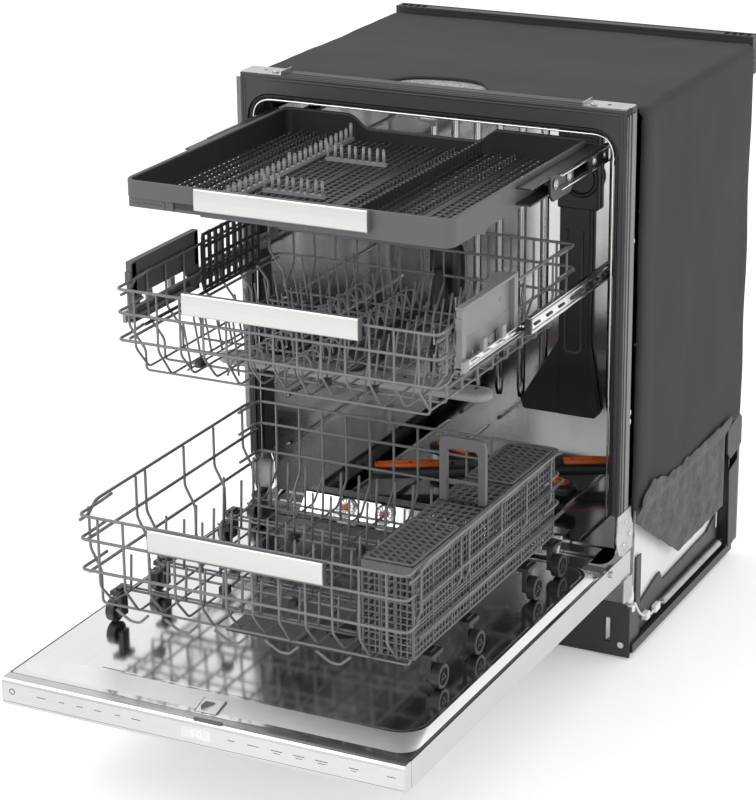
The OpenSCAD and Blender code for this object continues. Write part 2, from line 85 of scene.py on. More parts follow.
def area_light(name, place, target, size, power):
    """A square soft light at a place, turned to a target."""
    data = bpy.data.lights.new(name, "AREA")
    data.size = size
    data.energy = power
    lamp = bpy.data.objects.new(name, data)
    lamp.location = place
    lamp.rotation_euler = (Vector(target) - Vector(place)).to_track_quat("-Z", "Y").to_euler()
    bpy.context.collection.objects.link(lamp)


def make_studio():
    """Pale floor, pale surroundings and soft lamps."""
    world = bpy.data.worlds.new("studio")
    world.use_nodes = True
    sky = world.node_tree.nodes["Background"]
    put(sky, {"Color": (1, 1, 1, 1), "Strength": 1.0})
    bpy.context.scene.world = world
    bpy.context.scene.view_settings.view_transform = "Standard"
    floor = Shape()
    reach, level = 9000, -1
    corners = [(x * reach, y * reach, level) for x, y in ((-1, -1), (1, -1), (1, 1), (-1, 1))]
    floor.add(corners, [(0, 1, 2, 3)])
    pale = paint("studio_floor", (0.94, 0.94, 0.94), 0.8, spread=0.004, patch=0.004)
    put(pale.node_tree.nodes["Principled BSDF"], {"Emission Color": (1, 1, 1, 1), "Emission Strength": 0.22})
    plane = floor.build("studio_floor", pale)
    area_light("key", (-1.8, -2.6, 3.4), (0, -0.1, 0.3), 2.2, 38)
    area_light("front", (0.6, -3.6, 1.4), (0, 0.0, 0.5), 1.8, 12)
    area_light("right", (3.4, 0.4, 2.2), (0, 0.1, 0.4), 2.0, 14)


# ---- Materials ----

def put(node, values):
    """Sets inputs of a shader node by their names."""
    for name, value in values.items():
        node.inputs[name].default_value = value


def paint(name, colour, rough, metallic=0.0, spread=0.12, grain=(1, 1, 1), scale=260.0, bump=0.12,
          rough_spread=0.08, patch=0.08, patch_scale=7.0, coat=0.0, sheen=0.0, rag=0.0, aniso=0.0):
    """A procedural finish: fine grain in colour, roughness and bump, and slow patches of tone."""
    mat = bpy.data.materials.new(name)
    mat.use_nodes = True
    tree = mat.node_tree
    link = tree.links.new
    shader = tree.nodes["Principled BSDF"]
    put(shader, {"Metallic": metallic, "Coat Weight": coat, "Coat Roughness": 0.12, "Sheen Weight": sheen,
                 "Anisotropic": aniso})
    place = tree.nodes.new("ShaderNodeTexCoord")
    stretch = tree.nodes.new("ShaderNodeMapping")
    put(stretch, {"Scale": [scale * g for g in grain]})
    link(place.outputs["Object"], stretch.inputs["Vector"])
    fine = tree.nodes.new("ShaderNodeTexNoise")
    put(fine, {"Scale": 1.0, "Detail": 3.0, "Roughness": 0.6, "Distortion": rag})
    link(stretch.outputs["Vector"], fine.inputs["Vector"])
    slow = tree.nodes.new("ShaderNodeTexNoise")
    put(slow, {"Scale": patch_scale, "Detail": 4.0})
    link(place.outputs["Object"], slow.inputs["Vector"])
    tones = tree.nodes.new("ShaderNodeValToRGB")
    low, high = 0.3, 0.7
    dark, light = tones.color_ramp.elements
    dark.position = low
    light.position = high
    dark.color = [c * (1 - spread) for c in colour] + [1]
    light.color = [min(1, c * (1 + spread)) for c in colour] + [1]
    link(fine.outputs["Fac"], tones.inputs["Fac"])
    shade = tree.nodes.new("ShaderNodeMapRange")
    put(shade, {"From Min": low, "From Max": high, "To Min": 1 - patch, "To Max": 1 + patch})
    link(slow.outputs["Fac"], shade.inputs["Value"])
    mix = tree.nodes.new("ShaderNodeVectorMath")
    mix.operation = "SCALE"
    link(tones.outputs["Color"], mix.inputs[0])
    link(shade.outputs["Result"], mix.inputs["Scale"])
    link(mix.outputs["Vector"], shader.inputs["Base Color"])
    wear = tree.nodes.new("ShaderNodeMapRange")
    put(wear, {"To Min": max(0.02, rough - rough_spread), "To Max": min(1, rough + rough_spread)})
    link(fine.outputs["Fac"], wear.inputs["Value"])
    link(wear.outputs["Result"], shader.inputs["Roughness"])
    if bump:
        relief = tree.nodes.new("ShaderNodeBump")
        put(relief, {"Strength": bump, "Distance": 0.0006})
        link(fine.outputs["Fac"], relief.inputs["Height"])
        link(relief.outputs["Normal"], shader.inputs["Normal"])
    return mat


def make_finishes():
    """One finish for each material slot of the record, and a few for small trim."""
    lines_x = (0.02, 1, 1)
    lines_y = (1, 0.02, 1)
    plastic = dict(rough_spread=0.06, scale=900, bump=0.18, patch=0.05)
    return {
        "stainless": paint("stainless", (0.60, 0.60, 0.60), 0.24, 1.0, 0.07, lines_x, 1500, 0.05, 0.07,
                           0.05, 3.0, aniso=0.3),
        "liner_steel": paint("liner_steel", (0.80, 0.80, 0.80), 0.12, 1.0, 0.02, lines_y, 300, 0.0, 0.03,
                             0.02, 4.0),
        "tub_steel": paint("tub_steel", (0.56, 0.56, 0.56), 0.13, 1.0, 0.02, (1, 1, 0.05), 60, 0.0, 0.03,
                           0.05, 5.0),
        "strip_steel": paint("strip_steel", (0.20, 0.20, 0.20), 0.38, 1.0, 0.1, scale=140, bump=0.05),
        "frame_plastic": paint("frame_plastic", (0.038, 0.038, 0.042), 0.5, **plastic),
        "gasket_rubber": paint("gasket_rubber", (0.014, 0.014, 0.015), 0.62, scale=500, bump=0.15),
        "felt": paint("felt", (0.028, 0.028, 0.030), 0.95, spread=0.35, scale=620, bump=0.55, patch=0.10,
                      patch_scale=5.0, sheen=0.03, rag=1.6),
        "pad_fibre": paint("pad_fibre", (0.078, 0.073, 0.068), 0.93, spread=0.40, scale=95, bump=0.8,
                           patch=0.28, patch_scale=34.0, sheen=0.1, rag=2.2, grain=(1, 1, 0.5)),
        "white_fibre": paint("white_fibre", (0.34, 0.34, 0.33), 0.9, spread=0.45, scale=120, bump=0.8,
                             patch=0.2, patch_scale=40.0, rag=2.0),
        "black_plastic": paint("black_plastic", (0.026, 0.026, 0.028), 0.46, **plastic),
        "zinc": paint("zinc", (0.52, 0.53, 0.53), 0.33, 1.0, 0.14, scale=120, bump=0.05, patch=0.12,
                      patch_scale=22.0, rag=1.0),
        "white_plastic": paint("white_plastic", (0.74, 0.75, 0.74), 0.38, spread=0.03, scale=600, bump=0.08,
                               patch=0.04),
        "black_steel": paint("black_steel", (0.009, 0.009, 0.009), 0.42, spread=0.2, scale=700, bump=0.2,
                             coat=0.15),
        "satin_steel": paint("satin_steel", (0.88, 0.88, 0.87), 0.36, 1.0, 0.02, lines_x, 900, 0.0, 0.03),
        "display_glass": paint("display_glass", (0.68, 0.68, 0.69), 0.16, spread=0.02, scale=300, bump=0.01,
                               coat=0.4),
        "dark_plastic": paint("dark_plastic", (0.020, 0.020, 0.023), 0.36, **plastic),
        "adjuster_grey": paint("adjuster_grey", (0.19, 0.195, 0.205), 0.4, **plastic),
        "grey_plastic": paint("grey_plastic", (0.098, 0.099, 0.106), 0.46, **plastic),
        "tray_plastic": paint("tray_plastic", (0.088, 0.088, 0.094), 0.50, **plastic),
        "pale_plastic": paint("pale_plastic", (0.25, 0.25, 0.26), 0.42, **plastic),
        "orange_plastic": paint("orange_plastic", (0.72, 0.13, 0.012), 0.36, spread=0.08, scale=600,
                                bump=0.1, patch=0.06),
        "handle_aluminium": paint("handle_aluminium", (0.60, 0.60, 0.59), 0.34, 0.9, 0.04, lines_x, 1800,
                                  0.05, 0.06, 0.02, 3.0),
        "rail_chrome": paint("rail_chrome", (0.72, 0.72, 0.73), 0.16, 1.0, 0.05, lines_y, 700, 0.03, 0.05),
        "rack_coating": paint("rack_coating", (0.125, 0.130, 0.138), 0.34, 0.0, 0.10, scale=1100, bump=0.1,
                              coat=0.6, patch=0.06),
        "mark_grey": paint("mark_grey", (0.10, 0.10, 0.10), 0.5, spread=0.05, scale=900, bump=0.0),
        "mark_light": paint("mark_light", (0.95, 0.95, 0.95), 0.5, spread=0.02, scale=900, bump=0.0),
    }


# ---- Building shapes ----

def bend(points, radius, steps=4):
    """The path through the points, with each corner rounded."""
    path = [Vector(p) for p in points]
    out = [path[0]]
    for before, corner, after in zip(path, path[1:], path[2:]):
        back = before - corner
        on = after - corner
        reach = min(radius, back.length * 0.49, on.length * 0.49)
        start = corner + back.normalized() * reach
        end = corner + on.normalized() * reach
        for i in range(steps + 1):
            t = i / steps
            out.append(start * (1 - t) ** 2 + corner * 2 * t * (1 - t) + end * t ** 2)
    return out + [path[-1]]


def ring(half_w, y0, y1, r, z, arc=6, side=4):
    """Points round a rounded rectangle in X and Y, always in the same order and number."""
    corners = [(half_w, y1, 0), (-half_w, y1, 90), (-half_w, y0, 180), (half_w, y0, 270)]
    turns = [(-1, -1), (1, -1), (1, 1), (-1, 1)]
    bends = []
    for (x, y, start), (sx, sy) in zip(corners, turns):
        centre = (x + sx * r, y + sy * r)
        steps = [math.radians(start + 90 * i / arc) for i in range(arc + 1)]
        bends.append([Vector((centre[0] + r * math.cos(a), centre[1] + r * math.sin(a), z)) for a in steps])
    points = []
    for i, run in enumerate(bends):
        points += run
        to = bends[(i + 1) % 4][0]
        points += [run[-1].lerp(to, k / side) for k in range(1, side)]
    return points


class Shape:
    """Gathers solids in millimetres and turns them into one mesh object."""

    def __init__(self):
        self.points = []
        self.faces = []
        self.smooth = []

    def add(self, points, faces, smooth=False):
        """Takes in points and the faces on them."""
        base = len(self.points)
        self.points += [tuple(p) for p in points]
        self.faces += [[base + i for i in face] for face in faces]
        self.smooth += [smooth] * len(faces)
        return self

    def block(self, corner, opposite):
        """A box between two opposite corners, given in either order."""
        (a, b, c), (d, e, f) = [[pick(p, q) for p, q in zip(corner, opposite)] for pick in (min, max)]
        points = [(a, b, c), (d, b, c), (d, e, c), (a, e, c), (a, b, f), (d, b, f), (d, e, f), (a, e, f)]
        sides = [(0, 3, 2, 1), (4, 5, 6, 7), (0, 1, 5, 4), (1, 2, 6, 5), (2, 3, 7, 6), (3, 0, 4, 7)]
        return self.add(points, sides)

    def rod(self, path, r, sides=8, closed=False):
        """A round bar along a path."""
        path = [Vector(p) for p in path]
        n = len(path)
        along = (path[1] - path[0]).normalized()
        across = along.orthogonal().normalized()
        points = []
        for i, p in enumerate(path):
            ahead = path[(i + 1) % n] if closed or i < n - 1 else p
            behind = path[i - 1] if closed or i > 0 else p
            now = (ahead - behind).normalized()
            across = (across - now * across.dot(now)).normalized()
            up = now.cross(across)
            for k in range(sides):
                a = 2 * math.pi * k / sides
                points.append(p + (across * math.cos(a) + up * math.sin(a)) * r)
        faces = []
        for i in range(n if closed else n - 1):
            j = (i + 1) % n
            for k in range(sides):
                m = (k + 1) % sides
                faces.append((i * sides + k, i * sides + m, j * sides + m, j * sides + k))
        self.add(points, faces, True)
        if not closed:
            base = len(self.points) - len(points)
            self.faces += [[base + k for k in reversed(range(sides))],
                           [base + (n - 1) * sides + k for k in range(sides)]]
            self.smooth += [False, False]
        return self

    def pin(self, foot, tip, r, sides=8):
        """A rod with a rounded tip."""
        foot, tip = Vector(foot), Vector(tip)
        way = (tip - foot).normalized()
        self.rod([foot, tip - way * r], r, sides)
        self.rod([tip - way * r, tip - way * r * 0.45], r * 0.92, sides)
        return self.rod([tip - way * r * 0.5, tip], r * 0.6, sides)

    def prism(self, outline, at, thick, plane="yz"):
        """A flat plate: an outline in the plane, from at to at + thick along the plane's normal."""
        def lift(p, d):
            """A point of the outline at distance d along the normal."""
            return {"yz": (d, p[0], p[1]), "xz": (p[0], d, p[1]), "xy": (p[0], p[1], d)}[plane]
        n = len(outline)
        points = [lift(p, at) for p in outline] + [lift(p, at + thick) for p in outline]
        faces = [tuple(reversed(range(n))), tuple(range(n, 2 * n))]
        faces += [(i, (i + 1) % n, n + (i + 1) % n, n + i) for i in range(n)]
        return self.add(points, faces)

    def rings(self, rings, smooth=False, close=False):
        """Skins a list of equal rings; close joins the last to the first."""
        n = len(rings[0])
        faces = []
        count = len(rings)
        for i in range(count if close else count - 1):
            j = (i + 1) % count
            faces += [(i * n + k, i * n + (k + 1) % n, j * n + (k + 1) % n, j * n + k) for k in range(n)]
        return self.add([p for r in rings for p in r], faces, smooth)

    def lathe(self, profile, centre, axis="z", sides=28, smooth=True):
        """Turns a profile of (radius, height) about an axis through the centre; the profile closes itself."""
        circle = [2 * math.pi * k / sides for k in range(sides)]
        out = []
        for r, h in profile:
            row = []
            for a in circle:
                u, v = r * math.cos(a), r * math.sin(a)
                offset = {"z": (u, v, h), "x": (h, u, v), "y": (v, h, u)}[axis]
                row.append(tuple(c + d for c, d in zip(centre, offset)))
            out.append(row)
        return self.rings(out, smooth, close=True)

    def disc(self, centre, r, thick, axis="z", sides=24):
        """A round solid plate with a softened edge."""
        e = min(0.6, thick * 0.3, r * 0.3)
        profile = [(0.01, 0), (r - e, 0), (r, e), (r, thick - e), (r - e, thick), (0.01, thick)]
        return self.lathe(profile, centre, axis, sides, False)

    def pierced(self, origin, u, v, count, pitch, hole, thick):
        """A plate of cells along u and v, each with one eight-point hole given in parts of the cell."""
        origin, u, v = Vector(origin), Vector(u), Vector(v)
        down = u.cross(v).normalized() * -thick
        edge = [(0, 0), (0.5, 0), (1, 0), (1, 0.5), (1, 1), (0.5, 1), (0, 1), (0, 0.5)]
        for i in range(count[0]):
            for j in range(count[1]):
                def at(p):
                    """The place of a point given in parts of this cell."""
                    return origin + u * ((i + p[0]) * pitch[0]) + v * ((j + p[1]) * pitch[1])
                outer = [at(p) for p in edge]
                inner = [at(p) for p in hole]
                low_in = [p + down for p in inner]
                low_out = [p + down for p in outer]
                self.rings([outer, inner, low_in, low_out])
        return self

    def mirrored(self):
        """Adds the same shape on the other side of the machine."""
        base = list(self.points)
        faces = list(self.faces)
        smooth = list(self.smooth)
        self.add([(-x, y, z) for x, y, z in base], [list(reversed(f)) for f in faces])
        self.smooth[-len(smooth):] = smooth
        return self

    def build(self, name, material, bevel=0.0, weld=False):
        """The mesh object, in metres."""
        mesh = bpy.data.meshes.new(name)
        mesh.from_pydata([[c * MM for c in p] for p in self.points], [], self.faces)
        mesh.polygons.foreach_set("use_smooth", self.smooth)
        work = bmesh.new()
        work.from_mesh(mesh)
        if weld:
            bmesh.ops.remove_doubles(work, verts=work.verts, dist=0.00002)
        bmesh.ops.recalc_face_normals(work, faces=work.faces)
        work.to_mesh(mesh)
        work.free()
        mesh.materials.append(material)
        obj = bpy.data.objects.new(name, mesh)
        bpy.context.collection.objects.link(obj)
        if bevel:
            soft = obj.modifiers.new("soft_edges", "BEVEL")
            soft.width = bevel * MM
            soft.segments = 2
            soft.limit_method = "ANGLE"
            soft.angle_limit = math.radians(50)
            soft.harden_normals = False
        return obj

    def piece(self, name, finish, body="cabinet", slot=None, replaces=(), bevel=0.0, weld=False):
        """Builds the object, rides it on its body and hides the CAD parts it replaces."""
        obj = self.build(name, FINISH[finish], bevel, weld)
        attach(obj, body)
        if replaces:
            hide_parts(*replaces)
        return obj


# ---- Cabinet ----

def blanket():
    """Felt over the tub's top and sides, in slow waves, with a ragged notch at its top front."""
    (_, y0, z0), (x1, y1, z1) = span("insulation_blanket")
    r, top = 14, z1
    path = [(x1, z0 + (top - r - z0) * i / 22) for i in range(23)]
    path += [(x1 - r + r * math.cos(a), top - r + r * math.sin(a))
             for a in [math.radians(90 * i / 8) for i in range(1, 9)]]
    path += [(x1 - r - (2 * x1 - 2 * r) * i / 28, top) for i in range(1, 28)]
    path += [(-x, z) for x, z in reversed(path[:31])]
    rows = 34
    outer, inner = [], []
    for i in range(rows + 1):
        t = i / rows
        loop_out, loop_in = [], []
        for k, (x, z) in enumerate(path):
            ragged = 5 * noise.noise((x * 0.02, z * 0.02, 3)) if i == 0 else 0
            y = y0 + 3 + (y1 - y0 - 3) * t + ragged
            on_top = z > top - 1
            if i < 9 and on_top and -102 < x < 62:
                bite = 64 * (1 - ((x + 20) / 83) ** 2) ** 0.35 + 16 * noise.noise((x * 0.05, 1, 5))
                y = max(y, y0 + 3 + max(0, bite) + i * 1.2)
            wave = 3.2 * noise.noise((x * 0.011, y * 0.009, z * 0.008)) + 1.0 * noise.noise((x * 0.04,
                                                                                             y * 0.03,
                                                                                             z * 0.03))
            fold = 1.6 * math.exp(-((y - y0 - 26) / 16) ** 2) * (1 if not on_top else 0.2)
            pinch = -1.6 * math.exp(-(t / 0.03) ** 2)
            push = wave + fold + pinch
            side = max(-1, min(1, x / (x1 - r)))
            nx = side if abs(x) > x1 - r else 0
            nz = 1 if z > top - r else 0
            size = math.hypot(nx, nz) or 1
            nx, nz = nx / size, nz / size
            loop_out.append((x + nx * (push - 2), y, z + nz * min(push * 0.6, 2.5)))
            thin = 7 if on_top else 13
            loop_in.append((x - nx * (thin - push * 0.5), y, z - nz * (thin - 2)))
        outer.append(loop_out)
        inner.append(loop_in)
    felt = Shape()
    width = len(path)
    grid = [p for row in outer for p in row] + [p for row in inner for p in row]
    half = (rows + 1) * width
    faces = []
    for i in range(rows):
        for k in range(width - 1):
            a = i * width + k
            faces.append((a, a + 1, a + width + 1, a + width))
            faces.append((half + a, half + a + width, half + a + width + 1, half + a + 1))
    for k in range(width - 1):
        last = rows * width + k
        faces.append((k, half + k, half + k + 1, k + 1))
        faces.append((last, last + 1, half + last + 1, half + last))
    for i in range(rows):
        for k in (0, width - 1):
            a = i * width + k
            faces.append((a, a + width, half + a + width, half + a))
    felt.add(grid, faces, True)
    cover = felt.piece("felt_blanket", "felt", replaces=["insulation_blanket"])
    smooth = cover.modifiers.new("rounding", "SUBSURF")
    smooth.levels = smooth.render_levels = 1
    fibre = Shape()
    fibre.prism([(-108, y0 + 2), (68, y0 + 2), (66, y0 + 60), (20, y0 + 88), (-60, y0 + 88), (-104, y0 + 60)],
                z1 - 8.5, 2.5, "xy")
    under = fibre.piece("notch_fibre", "white_fibre", slot="pad_fibre")


def side_pads():
    """Mottled fibre pads low on both sides, hung over the felt, with crumpled edges."""
    (_, y0, z0), (x1, y1, _) = span("lower_side_pads")
    felt_x = span("insulation_blanket")[1][0]
    for name, s in (("right_pad", 1), ("left_pad", -1)):
        pad = Shape()
        cols, rows = 46, 34
        front, back = [], []
        for j in range(rows + 1):
            for i in range(cols + 1):
                y = y0 + (y1 - y0) * i / cols
                upper = 262 + 14 * math.sin(math.pi * min(1, i / 12)) + 7 * noise.noise((y * 0.05, 0, 7))
                knots = [(y0, 222), (334, z0 + 2), (y1, z0 + 3)]
                lower = next(b0 + (b1 - b0) * (y - a0) / (a1 - a0)
                             for (a0, b0), (a1, b1) in zip(knots, knots[1:]) if y <= a1 + 0.01)
                lower += 3 * noise.noise((y * 0.06, 2, 7))
                z = lower + (upper - lower) * j / rows
                over = min(1, max(0, (z - 228) / 22))
                x = x1 - 1.5 + (felt_x + 3.5 - x1) * over
                lump = 2.2 * noise.noise((y * 0.05, z * 0.05, s * 4)) + 1.2 * noise.noise((y * 0.16,
                                                                                           z * 0.12, s))
                edge = min(1, j / 2, (rows - j) / 2, i / 2, (cols - i) / 2)
                front.append((s * (x + lump * edge), y + 2 * noise.noise((z * 0.06, 1, 1)), z))
                back.append((s * (x - 3.4 * edge - 0.4), y, z))
        n = cols + 1
        half = len(front)
        faces = []
        for j in range(rows):
            for i in range(cols):
                a = j * n + i
                faces.append((a, a + 1, a + n + 1, a + n))
                faces.append((half + a, half + a + n, half + a + n + 1, half + a + 1))
        rim = list(range(n)) + [j * n + cols for j in range(1, rows + 1)]
        rim += [rows * n + i for i in range(cols - 1, -1, -1)] + [j * n for j in range(rows - 1, 0, -1)]
        for a, b in zip(rim, rim[1:] + rim[:1]):
            faces.append((a, half + a, half + b, b))
        pad.add(front + back, faces, True)
        obj = pad.piece(name, "pad_fibre", "cabinet", replaces=["lower_side_pads"])


def front_frame():
    """Ridges along the front frame, its gasket bead, and fixings in the side gaps."""
    (x0, y0, z0), (x1, _, z1) = span("tub_front_frame")
    ridges = Shape()
    for inset in (2.6, 7.0):
        path = [(x0 + inset, y0 + 1.2, z0 + 1), (x0 + inset, y0 + 1.2, z1 - inset),
                (x1 - inset, y0 + 1.2, z1 - inset), (x1 - inset, y0 + 1.2, z0 + 1)]
        ridges.rod(bend(path, 1.5, 2), 2.1, 12)
    for depth in (7, 18):
        path = [(x0 - 1.5, y0 + depth, z0 + 1), (x0 - 1.5, y0 + depth, z1 + 0.1),
                (x1 + 1.5, y0 + depth, z1 + 0.1), (x1 + 1.5, y0 + depth, z0 + 1)]
        ridges.rod(bend(path, 1.5, 2), 1.1, 8)
    ridges.piece("frame_ridges", "frame_plastic")
    half = span("tub")[1][0] - 2
    bead_foot, trim_foot, trim_top = 262, 256, 820.6
    bead = Shape()
    for w, top, y, r in ((half + 6.0, 826, y0 + 5.0, 2.8), (half + 3.2, 823.2, y0 + 8.5, 2.0)):
        path = [(-w, y, bead_foot), (-w, y, top), (w, y, top), (w, y, bead_foot)]
        bead.rod(bend(path, 36, 10), r, 10)
    bead.piece("gasket_bead", "gasket_rubber", replaces=["door_gasket"])
    trim = Shape()
    inner = half + 0.9
    path = [(-inner, y0 + 2.5, trim_foot), (-inner, y0 + 2.5, trim_top), (inner, y0 + 2.5, trim_top),
            (inner, y0 + 2.5, trim_foot)]
    trim.rod(bend(path, 31, 10), 1.5, 8)
    trim.piece("opening_edge", "liner_steel", slot="stainless")
    fixing = Shape()
    for s in (-1, 1):
        for z, r in ((402, 5.0), (388, 5.0), (660, 4.0)):
            fixing.disc((s * 296 - 4, y0 + 50, z), r, 7, "x")
    fixing.piece("gap_fixings", "white_plastic")


def tub_details():
    """Beads pressed into the tub, its front sill, and two strainer plates with orange hubs on the sill."""
    (_, y0, z0), (x1, y1, _) = span("tub")
    back, wall = y1 - 2, x1 - 2
    beads = Shape()
    for i in range(13):
        x = -240 + 40 * i
        if abs(x - 28) > 42:
            beads.rod(bend([(x, back + 7, 215), (x, back + 4, 240), (x, back + 4, 775), (x, back + 7, 800)],
                           12), 9, 16)
    for s in (-1, 1):
        for z in (250, 330, 410, 490, 690):
            path = [(s * (wall + 1.5), y0 + 70, z), (s * (wall - 1), y0 + 100, z),
                    (s * (wall - 1), back - 60, z), (s * (wall + 1.5), back - 30, z)]
            beads.rod(bend(path, 12), 3.2, 10)
    for x in (-200, -130, 130, 200):
        beads.rod(bend([(x, y0 + 70, z0 + 2), (x, y0 + 90, z0 + 4), (x, back - 40, z0 + 4),
                        (x, back - 20, z0 + 2)], 10), 2.6, 10)
    beads.piece("tub_beads", "tub_steel", slot="stainless")
    sill = Shape()
    foot, crest = 184.4, 211
    sill.prism([(62, foot), (112, foot), (112, crest), (88, crest), (84, crest - 1.5)], -214, 428)
    sill.piece("tub_sill", "liner_steel", slot="stainless", bevel=1.5)
    plates, hubs = Shape(), Shape()
    tilt = Matrix.Rotation(math.radians(50), 3, "X")
    plate_profile = [(5, 0), (16, 0), (17.4, 0.8), (16.4, 2.2), (6, 2.8), (5, 2)]
    hub_profile = [(0.01, 0), (5, 0), (5, 3.4), (3.6, 5.2), (0.01, 5.6)]
    for x in (-138, -72):
        seat = Vector((x, 74, 198.5))
        for shape, profile in ((plates, plate_profile), (hubs, hub_profile)):
            turned = Shape().lathe(profile, (0, 0, 0), "z", 32)
            shape.add([seat + tilt @ Vector(p) for p in turned.points], turned.faces, True)
        for k in range(14):
            a = 2 * math.pi * k / 14
            c, d = math.cos(a), math.sin(a)
            plates.rod([seat + tilt @ Vector((q * c, q * d, 2.6)) for q in (7, 15)], 0.9, 6)
    plates.piece("strainer_plates", "rail_chrome")
    hubs.piece("strainer_hubs", "orange_plastic")


def top_hardware():
    """Ribs and pockets on the rear beam, screws on the brackets, and the small catch on the frame's top."""
    (x0, y0, _), (x1, y1, z1) = span("rear_top_beam")
    ribs = Shape()
    for i in range(27):
        x = -247 + 19 * i
        ribs.block((x - 1, y1 - 18, z1 - 13), (x + 1, y1 - 5.2, z1 - 1.4))
    ribs.block((x0 + 1, y0 - 1.2, z1 - 3.5), (x1 - 1, y0 + 1, z1 + 0.8))
    ribs.block((x0 + 1, y1 - 2, z1 - 3.5), (x1 - 1, y1 + 0.8, z1 + 0.8))
    for s in (-1, 1):
        for z in (806, 815, 824):
            ribs.block((s * 304, y0 + 3, z), (s * 306, y1 - 3, z + 1.6))
    ribs.piece("beam_ribs", "black_plastic", bevel=0.4)
    (_, by0, bz0), (_, _, _) = span("top_brackets")
    screws = Shape()
    head = [(1, 0), (5, 0), (5.2, 1.6), (4.2, 3.2), (1.2, 3.4), (1, 2.4)]
    for s in (-1, 1):
        screws.lathe(head, (s * 250, by0 + 10, bz0 + 2), "z", 20)
    screws.piece("bracket_screws", "zinc")
    (sx0, sy0, sz0), (sx1, sy1, sz1) = span("latch_strike")
    catch = Shape()
    catch.block((sx0, sy0 - 0.5, sz0 + 9), (sx1, sy1, sz1 + 0.2))
    catch.block((sx0 + 4, sy0 - 1.4, sz0 + 10.5), (sx1 - 4, sy0 + 2, sz1 - 2))
    catch.block((-5, sy0 + 12, sz0), (5, sy0 + 16, sz0 + 10))
    catch.piece("strike_catch", "zinc", replaces=["latch_strike"], bevel=0.8)


def base_details():
    """Springs as coils, the white tray's steps, the toe kick's hardware and the side members."""
    (_, _, z0), (x1, y1, z1) = span("door_springs")
    coils = Shape()
    for s in (-1, 1):
        x, z = s * (x1 - 7), (z0 + z1) / 2
        turns, per_turn, r = 56, 12, 5.4
        steps = turns * per_turn
        angles = [2 * math.pi * i / per_turn for i in range(steps + 1)]
        path = [(x + r * math.cos(a), 286 + 256 * i / steps, z + r * math.sin(a)) for i,
                a in enumerate(angles)]
        path = [(x, 276, z), (x, 281, z)] + path + [(x, 547, z), (x, y1 - 4, z)]
        coils.rod(path, 1.35, 6)
        coils.rod(bend([(x, 276, z), (x, 270, z), (x, 268, z + 4)], 3), 1.6, 6)
    coils.piece("spring_coils", "zinc", replaces=["door_springs"])
    cords = Shape()
    for s in (-1, 1):
        x = s * (x1 - 7)
        cords.rod(bend([(x, 268, 41), (x, 240, 36), (x, 196, 52), (x, 170, 84)], 20), 2.0, 8)
        cords.block((x - 4, 252, 34), (x + 4, 272, 46))
        cords.block((x - 5, 212, 38), (x + 5, 226, 50))
    cords.piece("spring_cords", "white_plastic", slot="white_plastic", bevel=1.2)
    caps = Shape()
    for s in (-1, 1):
        caps.lathe([(0.01, 0), (8, 0), (8.6, 3), (8.6, 14), (7, 17), (6.6, 26), (0.01, 27)],
                   (s * 287, 166, 86), "z", 24)
        caps.lathe([(0.01, 0), (11, 0), (11, 10), (0.01, 10)], (s * 287, 166, 72), "z", 24)
    caps.piece("levelling_caps", "white_plastic", bevel=0.6)
    walls = Shape()
    for s in (-1, 1):
        walls.prism([(185, 24), (560, 24), (560, 150), (470, 178), (300, 232), (190, 226)], s * 286 - 1.25,
                    2.5)
    walls.piece("side_moulding", "white_plastic", bevel=0.8)
    plates = Shape()
    for s in (-1, 1):
        plates.prism([(206, 24), (540, 24), (540, 92), (500, 74), (300, 70), (288, 88), (262, 84), (206, 70)],
                     s * 290.5 - 1.2, 2.4)
        plates.prism([(186, 10), (206, 10), (206, 150), (186, 150)], s * 290.5 - 1.2, 2.4)
    plates.piece("side_members", "black_steel", bevel=0.5)
    (_, ty0, _), (_, ty1, _) = span("toe_kick")
    kick = Shape()
    for s in (-1, 1):
        kick.prism([(ty1, 6), (ty1 + 38, 6), (ty1 + 38, 56), (ty1 + 30, 72), (ty1, 84)], s * 295 - 1, 2)
        kick.rod([(s * 262 - 5.2, ty0 - 0.2, 24), (s * 262 - 5.2, ty0 - 0.2, 64)], 0.9, 6)
        kick.rod([(s * 262 + 5.2, ty0 - 0.2, 24), (s * 262 + 5.2, ty0 - 0.2, 64)], 0.9, 6)
    kick.piece("toe_kick_returns", "black_steel", bevel=0.5)
    corner = Shape()
    for s in (-1, 1):
        corner.prism([(545, 236), (600, 246), (611, 236), (611, 192), (596, 186), (560, 180), (545, 196)],
                     min(s * 303, s * 306.5), 3.5)
        corner.prism([(560, 160), (598, 168), (598, 40), (590, 24), (566, 24)], min(s * 303, s * 305.2), 2.2)
    corner.piece("rear_corner_plates", "black_plastic", bevel=0.8)


# ---- Door ----

